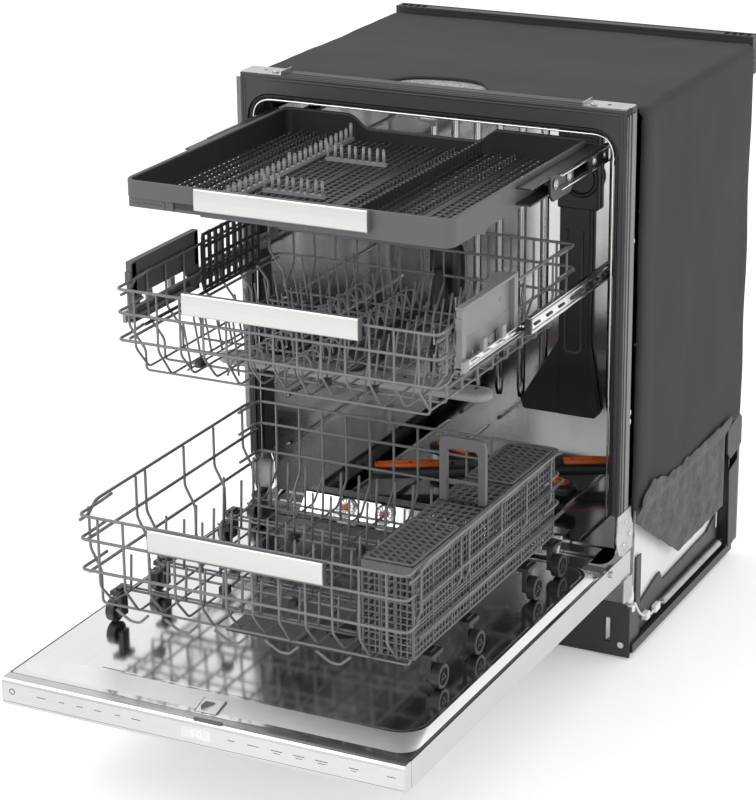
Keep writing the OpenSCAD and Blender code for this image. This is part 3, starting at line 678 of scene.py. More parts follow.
def door_liner():
    """Pressed liner: a flat flange, a satin slope, a bright flat top and the dispenser's pocket."""
    (_, y0, _), (x1, y1, z1) = span("door_liner")
    base = span("door_outer_panel")[1][2]
    rear = y1 - 50
    flange = [(x1, y0, rear + 8, 5, base - 1.8), (x1, y0, rear + 8, 5, base + 0.1),
              (x1 - 3, y0 + 2, rear + 6, 12, base + 0.3), (x1 - 4, y0 + 10, rear + 4, 26, base + 0.6)]
    slope = []
    for i in range(9):
        t = i / 8
        rise = t * (1.2 - 0.2 * t)
        slope.append((x1 - 4 - 9 * t, y0 + 10 + 36 * t, rear + 4 - 4 * t, 26 + 14 * t,
                      base + 0.6 + (z1 - base - 0.6) * rise))
    dx1, dy0, dy1 = 95, -374, -245
    top = [slope[-1], (x1 - 17, y0 + 50, rear - 4, 38, z1), (x1 - 20, y0 + 53, rear - 7, 35, z1 - 0.6),
           (dx1 + 1, dy0 - 1, dy1 + 1, 7, z1 - 0.6), (dx1 + 1, dy0 - 1, dy1 + 1, 7, z1 - 5)]
    liner = Shape()
    for levels in (flange, top):
        liner.rings([ring(*level, arc=12) for level in levels], False)
    liner.block((-262, rear + 2, base - 0.5), (262, y1, base + 2))
    liner.piece("liner_sheet", "liner_steel", slot="stainless", replaces=["door_liner"])
    rim = Shape()
    rim.rings([ring(*level, arc=12) for level in slope], True)
    rim.piece("liner_slope", "satin_steel", slot="stainless")
    # A thin black rod along each side between the liner and the outer panel: painted shade of the gap there.
    gap_shade_rod = Shape()
    half = x1 + 0.6
    for s in (-1, 1):
        gap_shade_rod.rod([(s * half, rear + 6, base), (s * half, y0 + 2, base)], 0.8, 6)
    gap_shade_rod.piece("liner_gap_shade", "gasket_rubber")
    clips = Shape()
    for s in (-1, 1):
        for y in (-60, -10, 20):
            clips.rod([(s * (x1 - 13.5), y - 5, base + 4), (s * (x1 - 13.5), y + 5, base + 4)], 1.4, 8)
        clips.disc((s * (x1 - 4), 18, base + 0.2), 4.2, 2.4)
    clips.piece("liner_clips", "zinc")


def door_front():
    """Rounded steel end of the door, with its pull slot, display digits and plain marks."""
    (x0, y0, z0), (x1, y1, z1) = span("control_panel")
    profile = [(y1, z0), (y0 + 4, z0), (y0 + 1.2, z0 + 1), (y0, z0 + 3.5), (y0, z1 - 8), (y0 + 1, z1 - 4.5),
               (y0 + 3.6, z1 - 2.2), (y0 + 9, z1 - 1.2), (y1 - 1, z1 - 1.2), (y1, z1 - 2)]
    panel = Shape()
    panel.prism(profile, x0, x1 - x0)
    panel.piece("panel_end", "stainless", replaces=["control_panel"], bevel=0.8)
    seam = Shape()
    seam.block((x0 + 1, y0 - 0.15, z0 + 5.2), (x1 - 1, y0 + 0.4, z0 + 5.7))
    seam.piece("panel_seam", "mark_grey", slot="gasket_rubber")
    slot = Shape()
    slot.rod(bend([(-4, y0 + 5.5, z1 - 1.9), (36, y0 + 5.5, z1 - 1.9)], 1), 3.2, 12)
    slot.piece("pull_slot", "grey_plastic")
    glass = Shape()
    glass.block((-22, y0 - 0.3, z0 + 12.5), (22, y0 + 1.0, z0 + 28))
    glass.piece("display_cover", "display_glass", replaces=["display_window"], bevel=0.25)
    lit = {"a": (0, 2), "b": (1, 1.5), "c": (1, 0.5), "d": (0, 0), "e": (-1, 0.5), "f": (-1, 1.5),
           "g": (0, 1)}
    digits = Shape()
    for start, parts in ((-8, "afgcd"), (2, "abcdef")):
        for part in parts:
            u, v = lit[part]
            cx, cz = start + 3 + u * 2.6, z0 + 16 + v * 4
            long_z = part in "bcef"
            w, h = (0.45, 1.7) if long_z else (2.1, 0.45)
            digits.block((cx - w, y0 - 0.42, cz - h), (cx + w, y0 - 0.2, cz + h))
    digits.piece("display_digits", "mark_light", slot="display_glass")
    marks = Shape()
    dashes = [(-236, 7), (-204, 4), (-176, 5), (-148, 5), (-118, 4), (-90, 7), (52, 5), (84, 8), (118, 8),
              (150, 8), (182, 9), (228, 7), (280, 6)]
    for i, (x, w) in enumerate(dashes):
        marks.block((x - w, y0 - 0.12, z0 + 20.4), (x + w, y0 + 0.3, z0 + 21.5))
        if i in (8, 9, 10, 11):
            marks.block((x - w * 0.6, y0 - 0.12, z0 + 17.2), (x + w * 0.6, y0 + 0.3, z0 + 18.0))
    marks.lathe([(3.2, 0), (4.4, 0), (4.4, 0.5), (3.2, 0.5)], (-282, y0 - 0.2, z0 + 21), "y", 24)
    marks.piece("panel_marks", "mark_grey", slot="gasket_rubber")


def door_latch():
    """Latch plate with a bright face on the liner's slope, and the wedge of its bolt."""
    (_, y0, z0), (_, y1, z1) = span("latch_housing")
    plate = Shape()
    plate.prism([(y0, z0 - 5), (y1, z0 - 5), (y1, z1 + 0.2), (y0, z0 + 0.4)], -17, 34)
    plate.piece("latch_plate", "grey_plastic", slot="dark_plastic", replaces=["latch_housing"], bevel=0.8)
    face = Shape()
    face.prism([(y0 + 1.5, z0 - 5), (y1 - 1.5, z0 - 5), (y1 - 1.5, z1 + 0.7), (y0 + 1.5, z0 + 1.1)], -15, 30)
    face.piece("latch_face", "satin_steel", slot="dark_plastic", bevel=0.4)
    (_, by0, bz0), (_, by1, bz1) = span("latch_bolt")
    bolt = Shape()
    bolt.prism([(-9, by0), (-9, by1), (5, by1)], bz0, bz1 - bz0 + 0.8, "xy")
    bolt.piece("bolt_wedge", "grey_plastic", "latch", slot="zinc", replaces=["latch_bolt"], bevel=0.5)


def dispenser_details():
    """Grip ribs on the sliding cover, a rim round the body, and the cap's knurl."""
    (x0, y0, z0), (_, y1, _) = span("detergent_lid")
    ribs = Shape()
    for i in range(6):
        x = x0 + 12 + i * 5
        ribs.rod([(x, y0 + 30, z0 + 2.6), (x, y1 - 30, z0 + 2.6)], 0.9, 6)
    ribs.piece("cover_ribs", "grey_plastic", "detergent_cover")
    (bx0, by0, _), (bx1, by1, bz1) = span("dispenser_body")
    rim = Shape()
    rim.rod(bend([(bx0 + 3, by0 + 20, bz1), (bx0 + 3, by0 + 3, bz1), (bx1 - 3, by0 + 3, bz1),
                  (bx1 - 3, by1 - 3, bz1), (bx0 + 3, by1 - 3, bz1), (bx0 + 3, by0 + 20, bz1)], 8), 1.6, 8)
    rim.piece("dispenser_rim", "grey_plastic")
    (_, _, cz0), (_, _, _) = span("rinse_aid_cap")
    knurl = Shape()
    teeth, r, cap_x, cap_y = 24, 23.4, 55, -310
    for k in range(teeth):
        a = 2 * math.pi * k / teeth
        x, y = cap_x + r * math.cos(a), cap_y + r * math.sin(a)
        knurl.rod([(x, y, cz0 + 4), (x, y, cz0 + 8.9)], 0.8, 6)
    knurl.piece("cap_knurl", "dark_plastic", "rinse_cap")


# ---- Third rack ----

def third_tray():
    """Moulded tray: walls with a dip at the back, a grid floor, toothed ridges and two tine colours."""
    (_, y0, z0), (_, _, z1) = span("third_rack_tray")
    half = 240
    yb = y0 + 452

    def top(p):
        """Height of the wall's top edge, which dips at the back."""
        x, y = p[0], p[1]
        if y > yb - 30 and -128 < x < 98:
            return z1 - 19 * min(1, (x + 128) / 22, (98 - x) / 22)
        return z1

    def bottom(p):
        """Height of the wall's foot, which is raised over the lever."""
        x, y = p[0], p[1]
        if y < y0 + 34 and x < -128:
            return z0 + 15
        return z0

    outer = ring(half, y0, yb, 16, 0, 6, 44)
    inner = ring(half - 4.6, y0 + 4.6, yb - 4.6, 12, 0, 6, 44)
    lip = ring(half - 1.2, y0 + 1.2, yb - 1.2, 15, 0, 6, 44)
    walls = Shape()
    rows = [[(p[0], p[1], bottom(p)) for p in outer], [(p[0], p[1], top(p) - 1.6) for p in outer],
            [(p[0], p[1], top(p)) for p in lip], [(p[0], p[1], top(q) - 1) for p, q in zip(inner, outer)],
            [(p[0], p[1], bottom(q) + 0.2) for p, q in zip(inner, outer)]]
    walls.rings(rows, True, close=True)
    obj = walls.piece("tray_walls", "tray_plastic", "third_rack", slot="grey_plastic",
                      replaces=["third_rack_tray"])
    obj.modifiers.new("creases", "EDGE_SPLIT").split_angle = math.radians(36)
    # A dark skin just inside the walls, darker than the walls' own plastic: painted shade on the tray's inner
    # faces.
    shade_lining = Shape()
    shell = [ring(half - 5.0, y0 + 5.0, yb - 5.0, 11.6, 0, 6, 44),
             ring(half - 6.2, y0 + 6.2, yb - 6.2, 10.4, 0, 6, 44)]
    rows = [[(p[0], p[1], bottom(q) + 2) for p, q in zip(shell[0], outer)],
            [(p[0], p[1], top(q) - 2.5) for p, q in zip(shell[0], outer)],
            [(p[0], p[1], top(q) - 2.5) for p, q in zip(shell[1], outer)],
            [(p[0], p[1], z0 + 2) for p in shell[1]]]
    shade_lining.rings(rows, False, close=True)
    shade_lining.piece("tray_painted_shade_lining", "dark_plastic", "third_rack", slot="grey_plastic")
    floor = Shape()
    for i in range(41):
        x = -half + 6 + i * 11.7
        floor.block((x - 2.1, y0 + 10, z0), (x + 2.1, yb - 4, z0 + 3))
    for j in range(33):
        y = y0 + 10 + j * 13.6
        floor.block((-half + 4, y - 1.7, z0 + 0.2), (half - 4, y + 1.7, z0 + 2.6))
    for x in (-150, -48, 20, 66, 150):
        floor.block((x - 5, y0 + 10, z0 + 0.1), (x + 5, yb - 4, z0 + 3.3))
    for x in (-206, -186, -166, 40, 58, 112, 134, 214):
        for j in range(40):
            y = y0 + 14 + j * 10.8
            floor.prism([(y, z0 + 3), (y + 5, z0 + 3), (y + 3.4, z0 + 8.5), (y + 1.6, z0 + 8.5)], x, 2.2)
    for s in (-1, 1):
        floor.block((s * 238, y0 + 200, 799), (s * 262, yb, 801.5))
        floor.block((s * 238, y0 + 200, 777), (s * 262, yb, 779.5))
    floor.piece("tray_floor", "dark_plastic", "third_rack", slot="grey_plastic")
    lever = Shape()
    lever.block((-236, y0 + 6, z0), (-120, y0 + 9, z0 + 16))
    lever.block((-234, y0 + 3, z0 + 1), (-166, y0 + 15, z0 + 15))
    lever.block((-226, y0 + 1.6, z0 + 6), (-184, y0 + 4, z0 + 8))
    lever.block((-182, y0 + 1.6, z0 + 3), (-178, y0 + 4, z0 + 12))
    lever.prism([(y0 + 70, z0 + 1), (y0 + 112, z0 + 1), (y0 + 104, z0 - 8)], half - 3, 2.4)
    lever.piece("tray_lever", "tray_plastic", "third_rack", slot="grey_plastic", bevel=1.0)
    light, dark = Shape(), Shape()
    foot = z0 + 3.2
    for i in range(24):
        y = y0 + 72 + i * 15.6
        high = 27 if i % 12 == 11 else 22
        light.pin((-121, y, foot), (-121, y, foot + high), 2.5)
    light.block((-124, y0 + 68, foot), (-118, y0 + 436, foot + 5))
    for y in (-222, -38):
        for i in range(9):
            x = -100 + i * 11
            light.pin((x, y, foot), (x, y + (2 if i % 2 else -2), foot + 25), 2.3)
        light.block((-103, y - 3, foot), (-9, y + 3, foot + 5))
    for i in range(34):
        y = y0 + 40 + i * 11.6
        dark.prism([(y - 2.2, foot), (y + 2.2, foot), (y + 1.4, foot + 22), (y, foot + 24),
                    (y - 1.4, foot + 22)], 84, 5)
    dark.block((83, y0 + 36, foot), (90, y0 + 428, foot + 6))
    light.piece("pale_tines", "pale_plastic", "third_rack", replaces=["third_rack_tines"])
    dark.piece("dark_comb", "dark_plastic", "third_rack", slot="pale_plastic", bevel=0.5)


def bar_handle(name, node, body):
    """Satin bar with a softly crowned face, and the grey caps and back it sits on."""
    (x0, y0, z0), (x1, y1, z1) = span(node)
    face = Shape()
    profile = [(y0 + 1.4, z0), (y0 + 0.3, z0 + 1.6), (y0, z0 + 6), (y0 - 0.3, (z0 + z1) / 2), (y0, z1 - 6),
               (y0 + 0.3, z1 - 1.6), (y0 + 1.4, z1), (y0 + 7, z1), (y0 + 7, z0)]
    face.prism(profile, x0 + 1.2, x1 - x0 - 2.4)
    face.piece(name + "_bar", "handle_aluminium", body, replaces=[node], bevel=0.5)
    caps = Shape()
    for x in (x0, x1 - 1.2):
        caps.prism([(y0 + 0.6, z0 + 0.4), (y0 + 7.4, z0 + 0.2), (y0 + 9.6, z0 + 6), (y0 + 9.6, z1 - 6),
                    (y0 + 7.4, z1 - 0.2), (y0 + 0.6, z1 - 0.4)], x, 1.2)
    caps.block((x0 + 3, y0 + 6.8, z0 + 3), (x1 - 3, y1 - 0.2, z1 - 3))
    caps.block((x0 + 1.2, y0 + 2.0, z1 - 0.2), (x1 - 1.2, y0 + 7, z1 + 0.5))
    caps.piece(name + "_back", "grey_plastic", body, slot="handle_aluminium", bevel=0.4)


def third_rails():
    """Chrome middle rails with rollers, and the hangers that carry the tray."""
    chrome, black, hubs = Shape(), Shape(), Shape()
    axle_z = 789.5
    chrome.block((266, -70, 779), (270, 300, 781))
    chrome.block((266, -70, 798), (270, 300, 800))
    chrome.block((266, 110, 779), (267.5, 300, 800))
    for y in (-80, -34, 56, 96):
        black.lathe([(2.2, 0), (7.6, 0), (8, 1.2), (5.8, 3), (5.8, 10), (8, 12), (7.6, 13.4), (2.2, 13.4)],
                    (250.4, y, axle_z), "x", 24)
        hubs.lathe([(0.01, 0), (4.6, 0), (4.6, 16.4), (3.6, 17.4), (0.01, 17.4)], (249.6, y, axle_z), "x", 20)
        hubs.lathe([(5.6, 0), (7.0, 0), (7.0, 1.2), (5.6, 1.2)], (264.2, y, axle_z), "x", 24)
    for low, high in ((-95, -16), (40, 112)):
        black.block((259.6, low, 777), (263.4, high, 802))
    black.prism([(-95, 777), (-16, 777), (-24, 766), (-84, 766)], 259.6, 3.8)
    chrome.mirrored().piece("third_rail_bars", "rail_chrome", "third_rails", slot="dark_plastic",
                            replaces=["third_middle_rails"], bevel=0.4)
    black.mirrored().piece("third_rail_rollers", "dark_plastic", "third_rails")
    hubs.mirrored().piece("third_rail_hubs", "zinc", "third_rails", slot="dark_plastic")


# ---- Wire racks ----

WHEELS = ["wheels_front", "wheels_second", "wheels_third", "wheels_rear"]


def wire_wall_loops(shape, half, y0, y1, levels, r):
    """Wires round a rack's front, each hooking back along both sides, and across its back."""
    for level, z in enumerate(levels):
        back = 52 if level else 70
        path = [(-half + 10, y0 + back, z + 8), (-half + 1, y0 + back - 18, z), (-half, y0, z),
                (half, y0, z), (half - 1, y0 + back - 18, z), (half - 10, y0 + back, z + 8)]
        shape.rod(bend(path, 11, 5), r, 8)
        shape.rod(bend([(-half, y1 - 60, z), (-half, y1, z), (half, y1, z), (half, y1 - 60, z)], 12, 4), r, 8)


def lengthwise_wires(shape, y0, y1, top, floor, places, r, step):
    """Wires that come down the front, run along the floor and go up the back."""
    for i, x in enumerate(places):
        dip = 6 if i % 3 == 1 else 0
        path = [(x, y0 + r, top), (x, y0 + r, floor + 40), (x, y0 + step, floor + 4 - dip),
                (x, y1 - step, floor + 4 - dip), (x, y1 - r, floor + 36), (x, y1 - r, top)]
        shape.rod(bend(path, 7, 3), r, 6)


def crosswise_wires(shape, half, top, floor, places, r, step, jog_from, jog_to):
    """Wires that come down one side, jog inwards, cross the floor and go up the other side."""
    high, low = top - jog_from, top - jog_to
    for y in places:
        path = [(-half + r, y, top), (-half + r, y, high), (-half + step, y, low), (-half + step, y, floor),
                (half - step, y, floor), (half - step, y, low), (half - r, y, high), (half - r, y, top)]
        shape.rod(bend(path, 6, 3), r, 6)


def tine_row(shape, x0, y, count, pitch, foot, tall, r):
    """A row of upright tines across the rack, on a foot wire."""
    shape.rod([(x0 - 10, y, foot), (x0 + (count - 1) * pitch + 10, y, foot)], r, 6)
    for i in range(count):
        x = x0 + i * pitch
        shape.pin((x, y, foot), (x + 1, y + 3, foot + tall), r, 6)


def side_rails(shape, half, y0, y1, levels, r):
    """Long wires along both sides, the top one stepping up behind the front corner."""
    for s in (-1, 1):
        for k, z in enumerate(levels):
            if k == 0:
                path = [(s * (half - 2), y0 + 8, z - 10), (s * (half - 2), y0 + 30, z - 10),
                        (s * (half + 0.5), y0 + 52, z + 3), (s * (half + 0.5), y1 - 30, z + 3),
                        (s * (half - 2), y1 - 4, z - 4)]
            else:
                path = [(s * (half + 0.5), y0 + 30, z), (s * (half + 0.5), y1, z)]
            shape.rod(bend(path, 10, 4), r, 8)


def tines(shape, x, y0, count, pitch, foot, tall, lean, r):
    """A row of upright tines, bent as pairs from one wire, on a foot wire."""
    shape.rod([(x, y0 - 10, foot), (x, y0 + (count - 1) * pitch + 10, foot)], r, 6)
    for i in range(count):
        y = y0 + i * pitch
        shape.pin((x, y, foot), (x + lean * 0.6, y + lean, foot + tall), r, 6)


def upper_rack():
    """Round wires of the upper rack in place of its flat lattices."""
    (_, y0, z0), (x1, y1, z1) = span("upper_rack_basket")
    half, gauge = x1, 2.1
    wires = Shape()
    wire_wall_loops(wires, half, y0 + 2, y1 - 2, (z1 - 2, z1 - 35, z1 - 73), gauge)
    side_rails(wires, half - 2, y0, y1, (z1 - 2, z1 - 40, z1 - 80), gauge)
    lengthwise_wires(wires, y0, y1, z1, z0 + 2, [-210 + 35 * i for i in range(13)], 1.7, 34)
    crosswise_wires(wires, half, z1, z0 + 2, [y0 + 30 + 49 * i for i in range(9)], 1.8, 26, 62, 92)
    for x in (-150, 40, 110, 180):
        tines(wires, x, y0 + 44, 13, 28, z0 + 9, 66, 9 if x > 0 else -9, 1.5)
    for x in (-92, -20):
        for i in range(14):
            y = y0 + 40 + i * 27
            path = [(x, y, z0 + 8), (x + 8, y + 4, z0 + 34), (x + 30, y + 12, z0 + 40),
                    (x + 36, y + 14, z0 + 14)]
            wires.rod(bend(path, 10, 4), 1.5, 6)
            wires.pin((x + 14, y + 6, z0 + 8), (x + 4, y + 12, z0 + 82), 1.5, 6)
    wires.piece("upper_wires", "rack_coating", "upper_rack", replaces=["upper_rack_basket"])
    clips = Shape()
    for x in (-150, 40, 110):
        for y in (y0 + 70, y0 + 250):
            clips.block((x - 5, y - 9, z0 + 3), (x + 5, y + 9, z0 + 13))
    clips.piece("upper_clips", "dark_plastic", "upper_rack", slot="rack_coating", bevel=1.2)


def lower_rack():
    """Round wires of the lower rack, with its cross tines, and the black carriers of its wheels."""
    (_, y0, _), (_, y1, z1) = span("lower_rack_basket")
    half, floor = 250, 240
    wires = Shape()
    wire_wall_loops(wires, half - 6, y0 + 2, y1 - 2, (z1 - 2, z1 - 36, z1 - 80), 2.2)
    side_rails(wires, half - 2, y0, y1, (z1 - 2, z1 - 48, z1 - 96), 2.3)
    lengthwise_wires(wires, y0, y1, z1, floor + 2, [-214 + 39 * i for i in range(12)], 1.9, 34)
    crosswise_wires(wires, half, z1 - 2, floor + 2, [y0 + d for d in (34, 155, 180, 285, 370, 455)], 2.0,
                    18, 60, 90)
    for y in [y0 + 92 + 96 * i for i in range(4)]:
        wires.rod([(-half + 20, y, floor + 3), (half - 20, y, floor + 3)], 1.7, 6)
    for y, tall in ((y0 + 74, 52), (y0 + 168, 74), (y0 + 250, 60), (y0 + 330, 74), (y0 + 418, 74)):
        tine_row(wires, -212, y, 13, 29, floor + 8, tall, 1.9)
    for i in range(5):
        x = -196 + i * 76
        path = [(x, y0 + 10, floor + 8), (x + 20, y0 + 14, floor - 7), (x + 34, y0 + 14, floor - 7),
                (x + 50, y0 + 10, floor + 8)]
        wires.rod(bend(path, 4, 3), 1.9, 6)
    wires.piece("lower_wires", "rack_coating", "lower_rack", replaces=["lower_rack_basket"])
    holders = Shape()
    wheel_z = (span("wheels_front")[0][2] + span("wheels_front")[1][2]) / 2
    for node in WHEELS:
        y = (span(node)[0][1] + span(node)[1][1]) / 2
        for s in (-1, 1):
            holders.block((s * 232, y - 9, wheel_z - 7), (s * 240, y + 9, floor + 4))
            holders.rod([(s * 236, y, wheel_z), (s * 257, y, wheel_z)], 2.4, 12)
            holders.block((s * 228, y - 16, floor - 6), (s * 246, y + 16, floor + 1))
    holders.piece("wheel_carriers", "dark_plastic", "lower_rack", slot="rack_coating", bevel=1.2)
    clips = Shape()
    for x in (-205, -96, 12):
        for y in (y0 + 130, y0 + 330):
            clips.block((x - 6, y - 8, floor + 2), (x + 6, y + 8, floor + 14))
    clips.piece("lower_clips", "dark_plastic", "lower_rack", slot="rack_coating", bevel=1.2)


def rack_wheels():
    """Wheels with a tyre, a dished web and curved spokes."""
    bodies = ["front_wheels", "second_wheels", "third_wheels", "rear_wheels"]
    for node, body in zip(WHEELS, bodies):
        (_, y0, z0), (x1, y1, z1) = span(node)
        y, z, r = (y0 + y1) / 2, (z0 + z1) / 2, (z1 - z0) / 2
        for s in (-1, 1):
            wheel = Shape()
            inner = x1 - 13
            start = inner if s > 0 else -x1
            profile = [(r - 5, 0), (r - 1, 0), (r, 1), (r, 12), (r - 1, 13), (r - 5, 13), (r - 6, 9),
                       (5.2, 9), (5.2, 12.5), (2.6, 12.5), (2.6, 0.5), (5.2, 0.5), (5.2, 4), (r - 6, 4)]
            wheel.lathe(profile, (start, y, z), "x", 36, False)
            face = start + (9 if s > 0 else 2.2)
            for k in range(5):
                a = 2 * math.pi * k / 5
                path = [(face + 0.9, y + q * math.cos(a + q * 0.07), z + q * math.sin(a + q * 0.07))
                        for q in (4, 6, 8, 10, 11.5)]
                wheel.rod(path, 1.2, 6)
            name = f"{body}_{'right' if s > 0 else 'left'}"
            wheel.piece(name, "dark_plastic", body, replaces=[node], bevel=0.4)


def adjusters():
    """Height adjusters: a framed plate with teeth, a folded top and a slotted front flange."""
    (_, _, _), (_, _, z1) = span("upper_rack_adjusters")
    for side, s, finish in (("left", -1, "tray_plastic"), ("right", 1, "adjuster_grey")):
        plate = Shape()
        a, b = 239.4, 249.6
        ya, yb = -345, -168

        def box(xa, xb, lo, hi):
            """A box on this side, from (y, z) lo to (y, z) hi."""
            plate.block((s * xa, lo[0], lo[1]), (s * xb, hi[0], hi[1]))

        box(a, a + 2.4, (ya, 640), (yb, z1 - 4))
        box(a, b, (ya, z1 - 6), (yb, z1 - 2))
        box(a, b, (ya, 606), (ya + 12, z1 - 4))
        box(a, b, (yb - 12, 606), (yb, z1 - 4))
        box(a, b, (ya, 604), (yb, 610))
        if s > 0:
            box(a + 0.2, a + 3.0, (ya + 1, 611), (ya + 46, 641))
            box(a + 0.2, a + 3.0, (yb - 50, 611), (yb - 1, 641))
            box(a - 16, a + 2, (yb - 66, z1 - 3.4), (yb - 6, z1 - 2))
            plate.prism([(ya + 45, 641), (ya + 128, 641), (ya + 128, 628), (ya + 60, 611), (ya + 45, 626)],
                        a + 0.3, 2.4)
            plate.disc((a + 1.6, yb - 40, 662), 4, 1.6, "x")
        else:
            for i in range(16):
                y = ya + 18 + i * 9.2
                plate.prism([(y, 676), (y + 3.5, 676), (y + 6.5, 684), (y + 3, 684)], -(a + 5.4), 3)
            plate.prism([(yb - 12, 606), (yb - 12, 641), (yb - 44, 641)], -(a + 2.4), 2.4)
            plate.prism([(ya + 12, 641), (ya + 26, 641), (ya + 12, 620)], -(a + 2.4), 2.4)
        box(a + 1, b + 1, (ya - 2, 660), (ya + 1, 676))
        plate.piece(side + "_adjuster", finish, "upper_rack", slot="grey_plastic",
                    replaces=["upper_rack_adjusters"], bevel=1.0)
    rail, caps = Shape(), Shape()
    front, back, foot, head = -345, 58, 606, 618
    rail.block((250, front, foot + 0.5), (251.2, back, head - 0.5))
    rail.block((250, front, foot), (254, back, foot + 1.4))
    rail.block((250, front, head - 1.4), (254, back, head))
    ball_z = (foot + head) / 2
    for i in range(9):
        y = -320 + i * 40
        rail.rod([(253.2, y, ball_z), (253.2, y + 18, ball_z)], 1.8, 8)
    for low, high in (((249.5, -350, 604), (255, -334, 620)), ((249, -120, 604), (255.2, -104, 620)),
                      ((249, -230, 616), (255, -218, 634)), ((249, -290, 616), (255, -278, 634))):
        caps.block(low, high)
    rail.mirrored().piece("upper_inner_rails", "rail_chrome", "upper_rack", slot="grey_plastic", bevel=0.3)
    caps.mirrored().piece("upper_rail_caps", "pale_plastic", "upper_rack", slot="grey_plastic", bevel=1.0)


def cup_shelf():
    """Perforated fold-down shelf along the left side, with posts and a round bar along its foot."""
    (x0, y0, _), (x1, y1, z1) = span("left_cup_shelf")
    x = (x0 + x1) / 2
    shelf = Shape()
    front = y0 + 158
    for z in (606, 626, 646, 666, 684):
        shelf.block((x - 1.4, front, z - 2.4), (x + 1.4, y1, z + 2.4))
    for i in range(10):
        y = front + 3 + i * (y1 - front - 6) / 9
        shelf.block((x - 1.8, y - 3.2, 603), (x + 1.8, y + 3.2, z1 - (0 if i % 2 else 4)))
        shelf.block((x - 3.4, y - 1.0, 606), (x + 3.4, y + 1.0, 680))
    shelf.rod([(x, y0, 600), (x, y1, 600)], 2.4, 10)
    shelf.piece("cup_shelf_panel", "dark_plastic", "cup_shelf", replaces=["left_cup_shelf"], bevel=0.7)


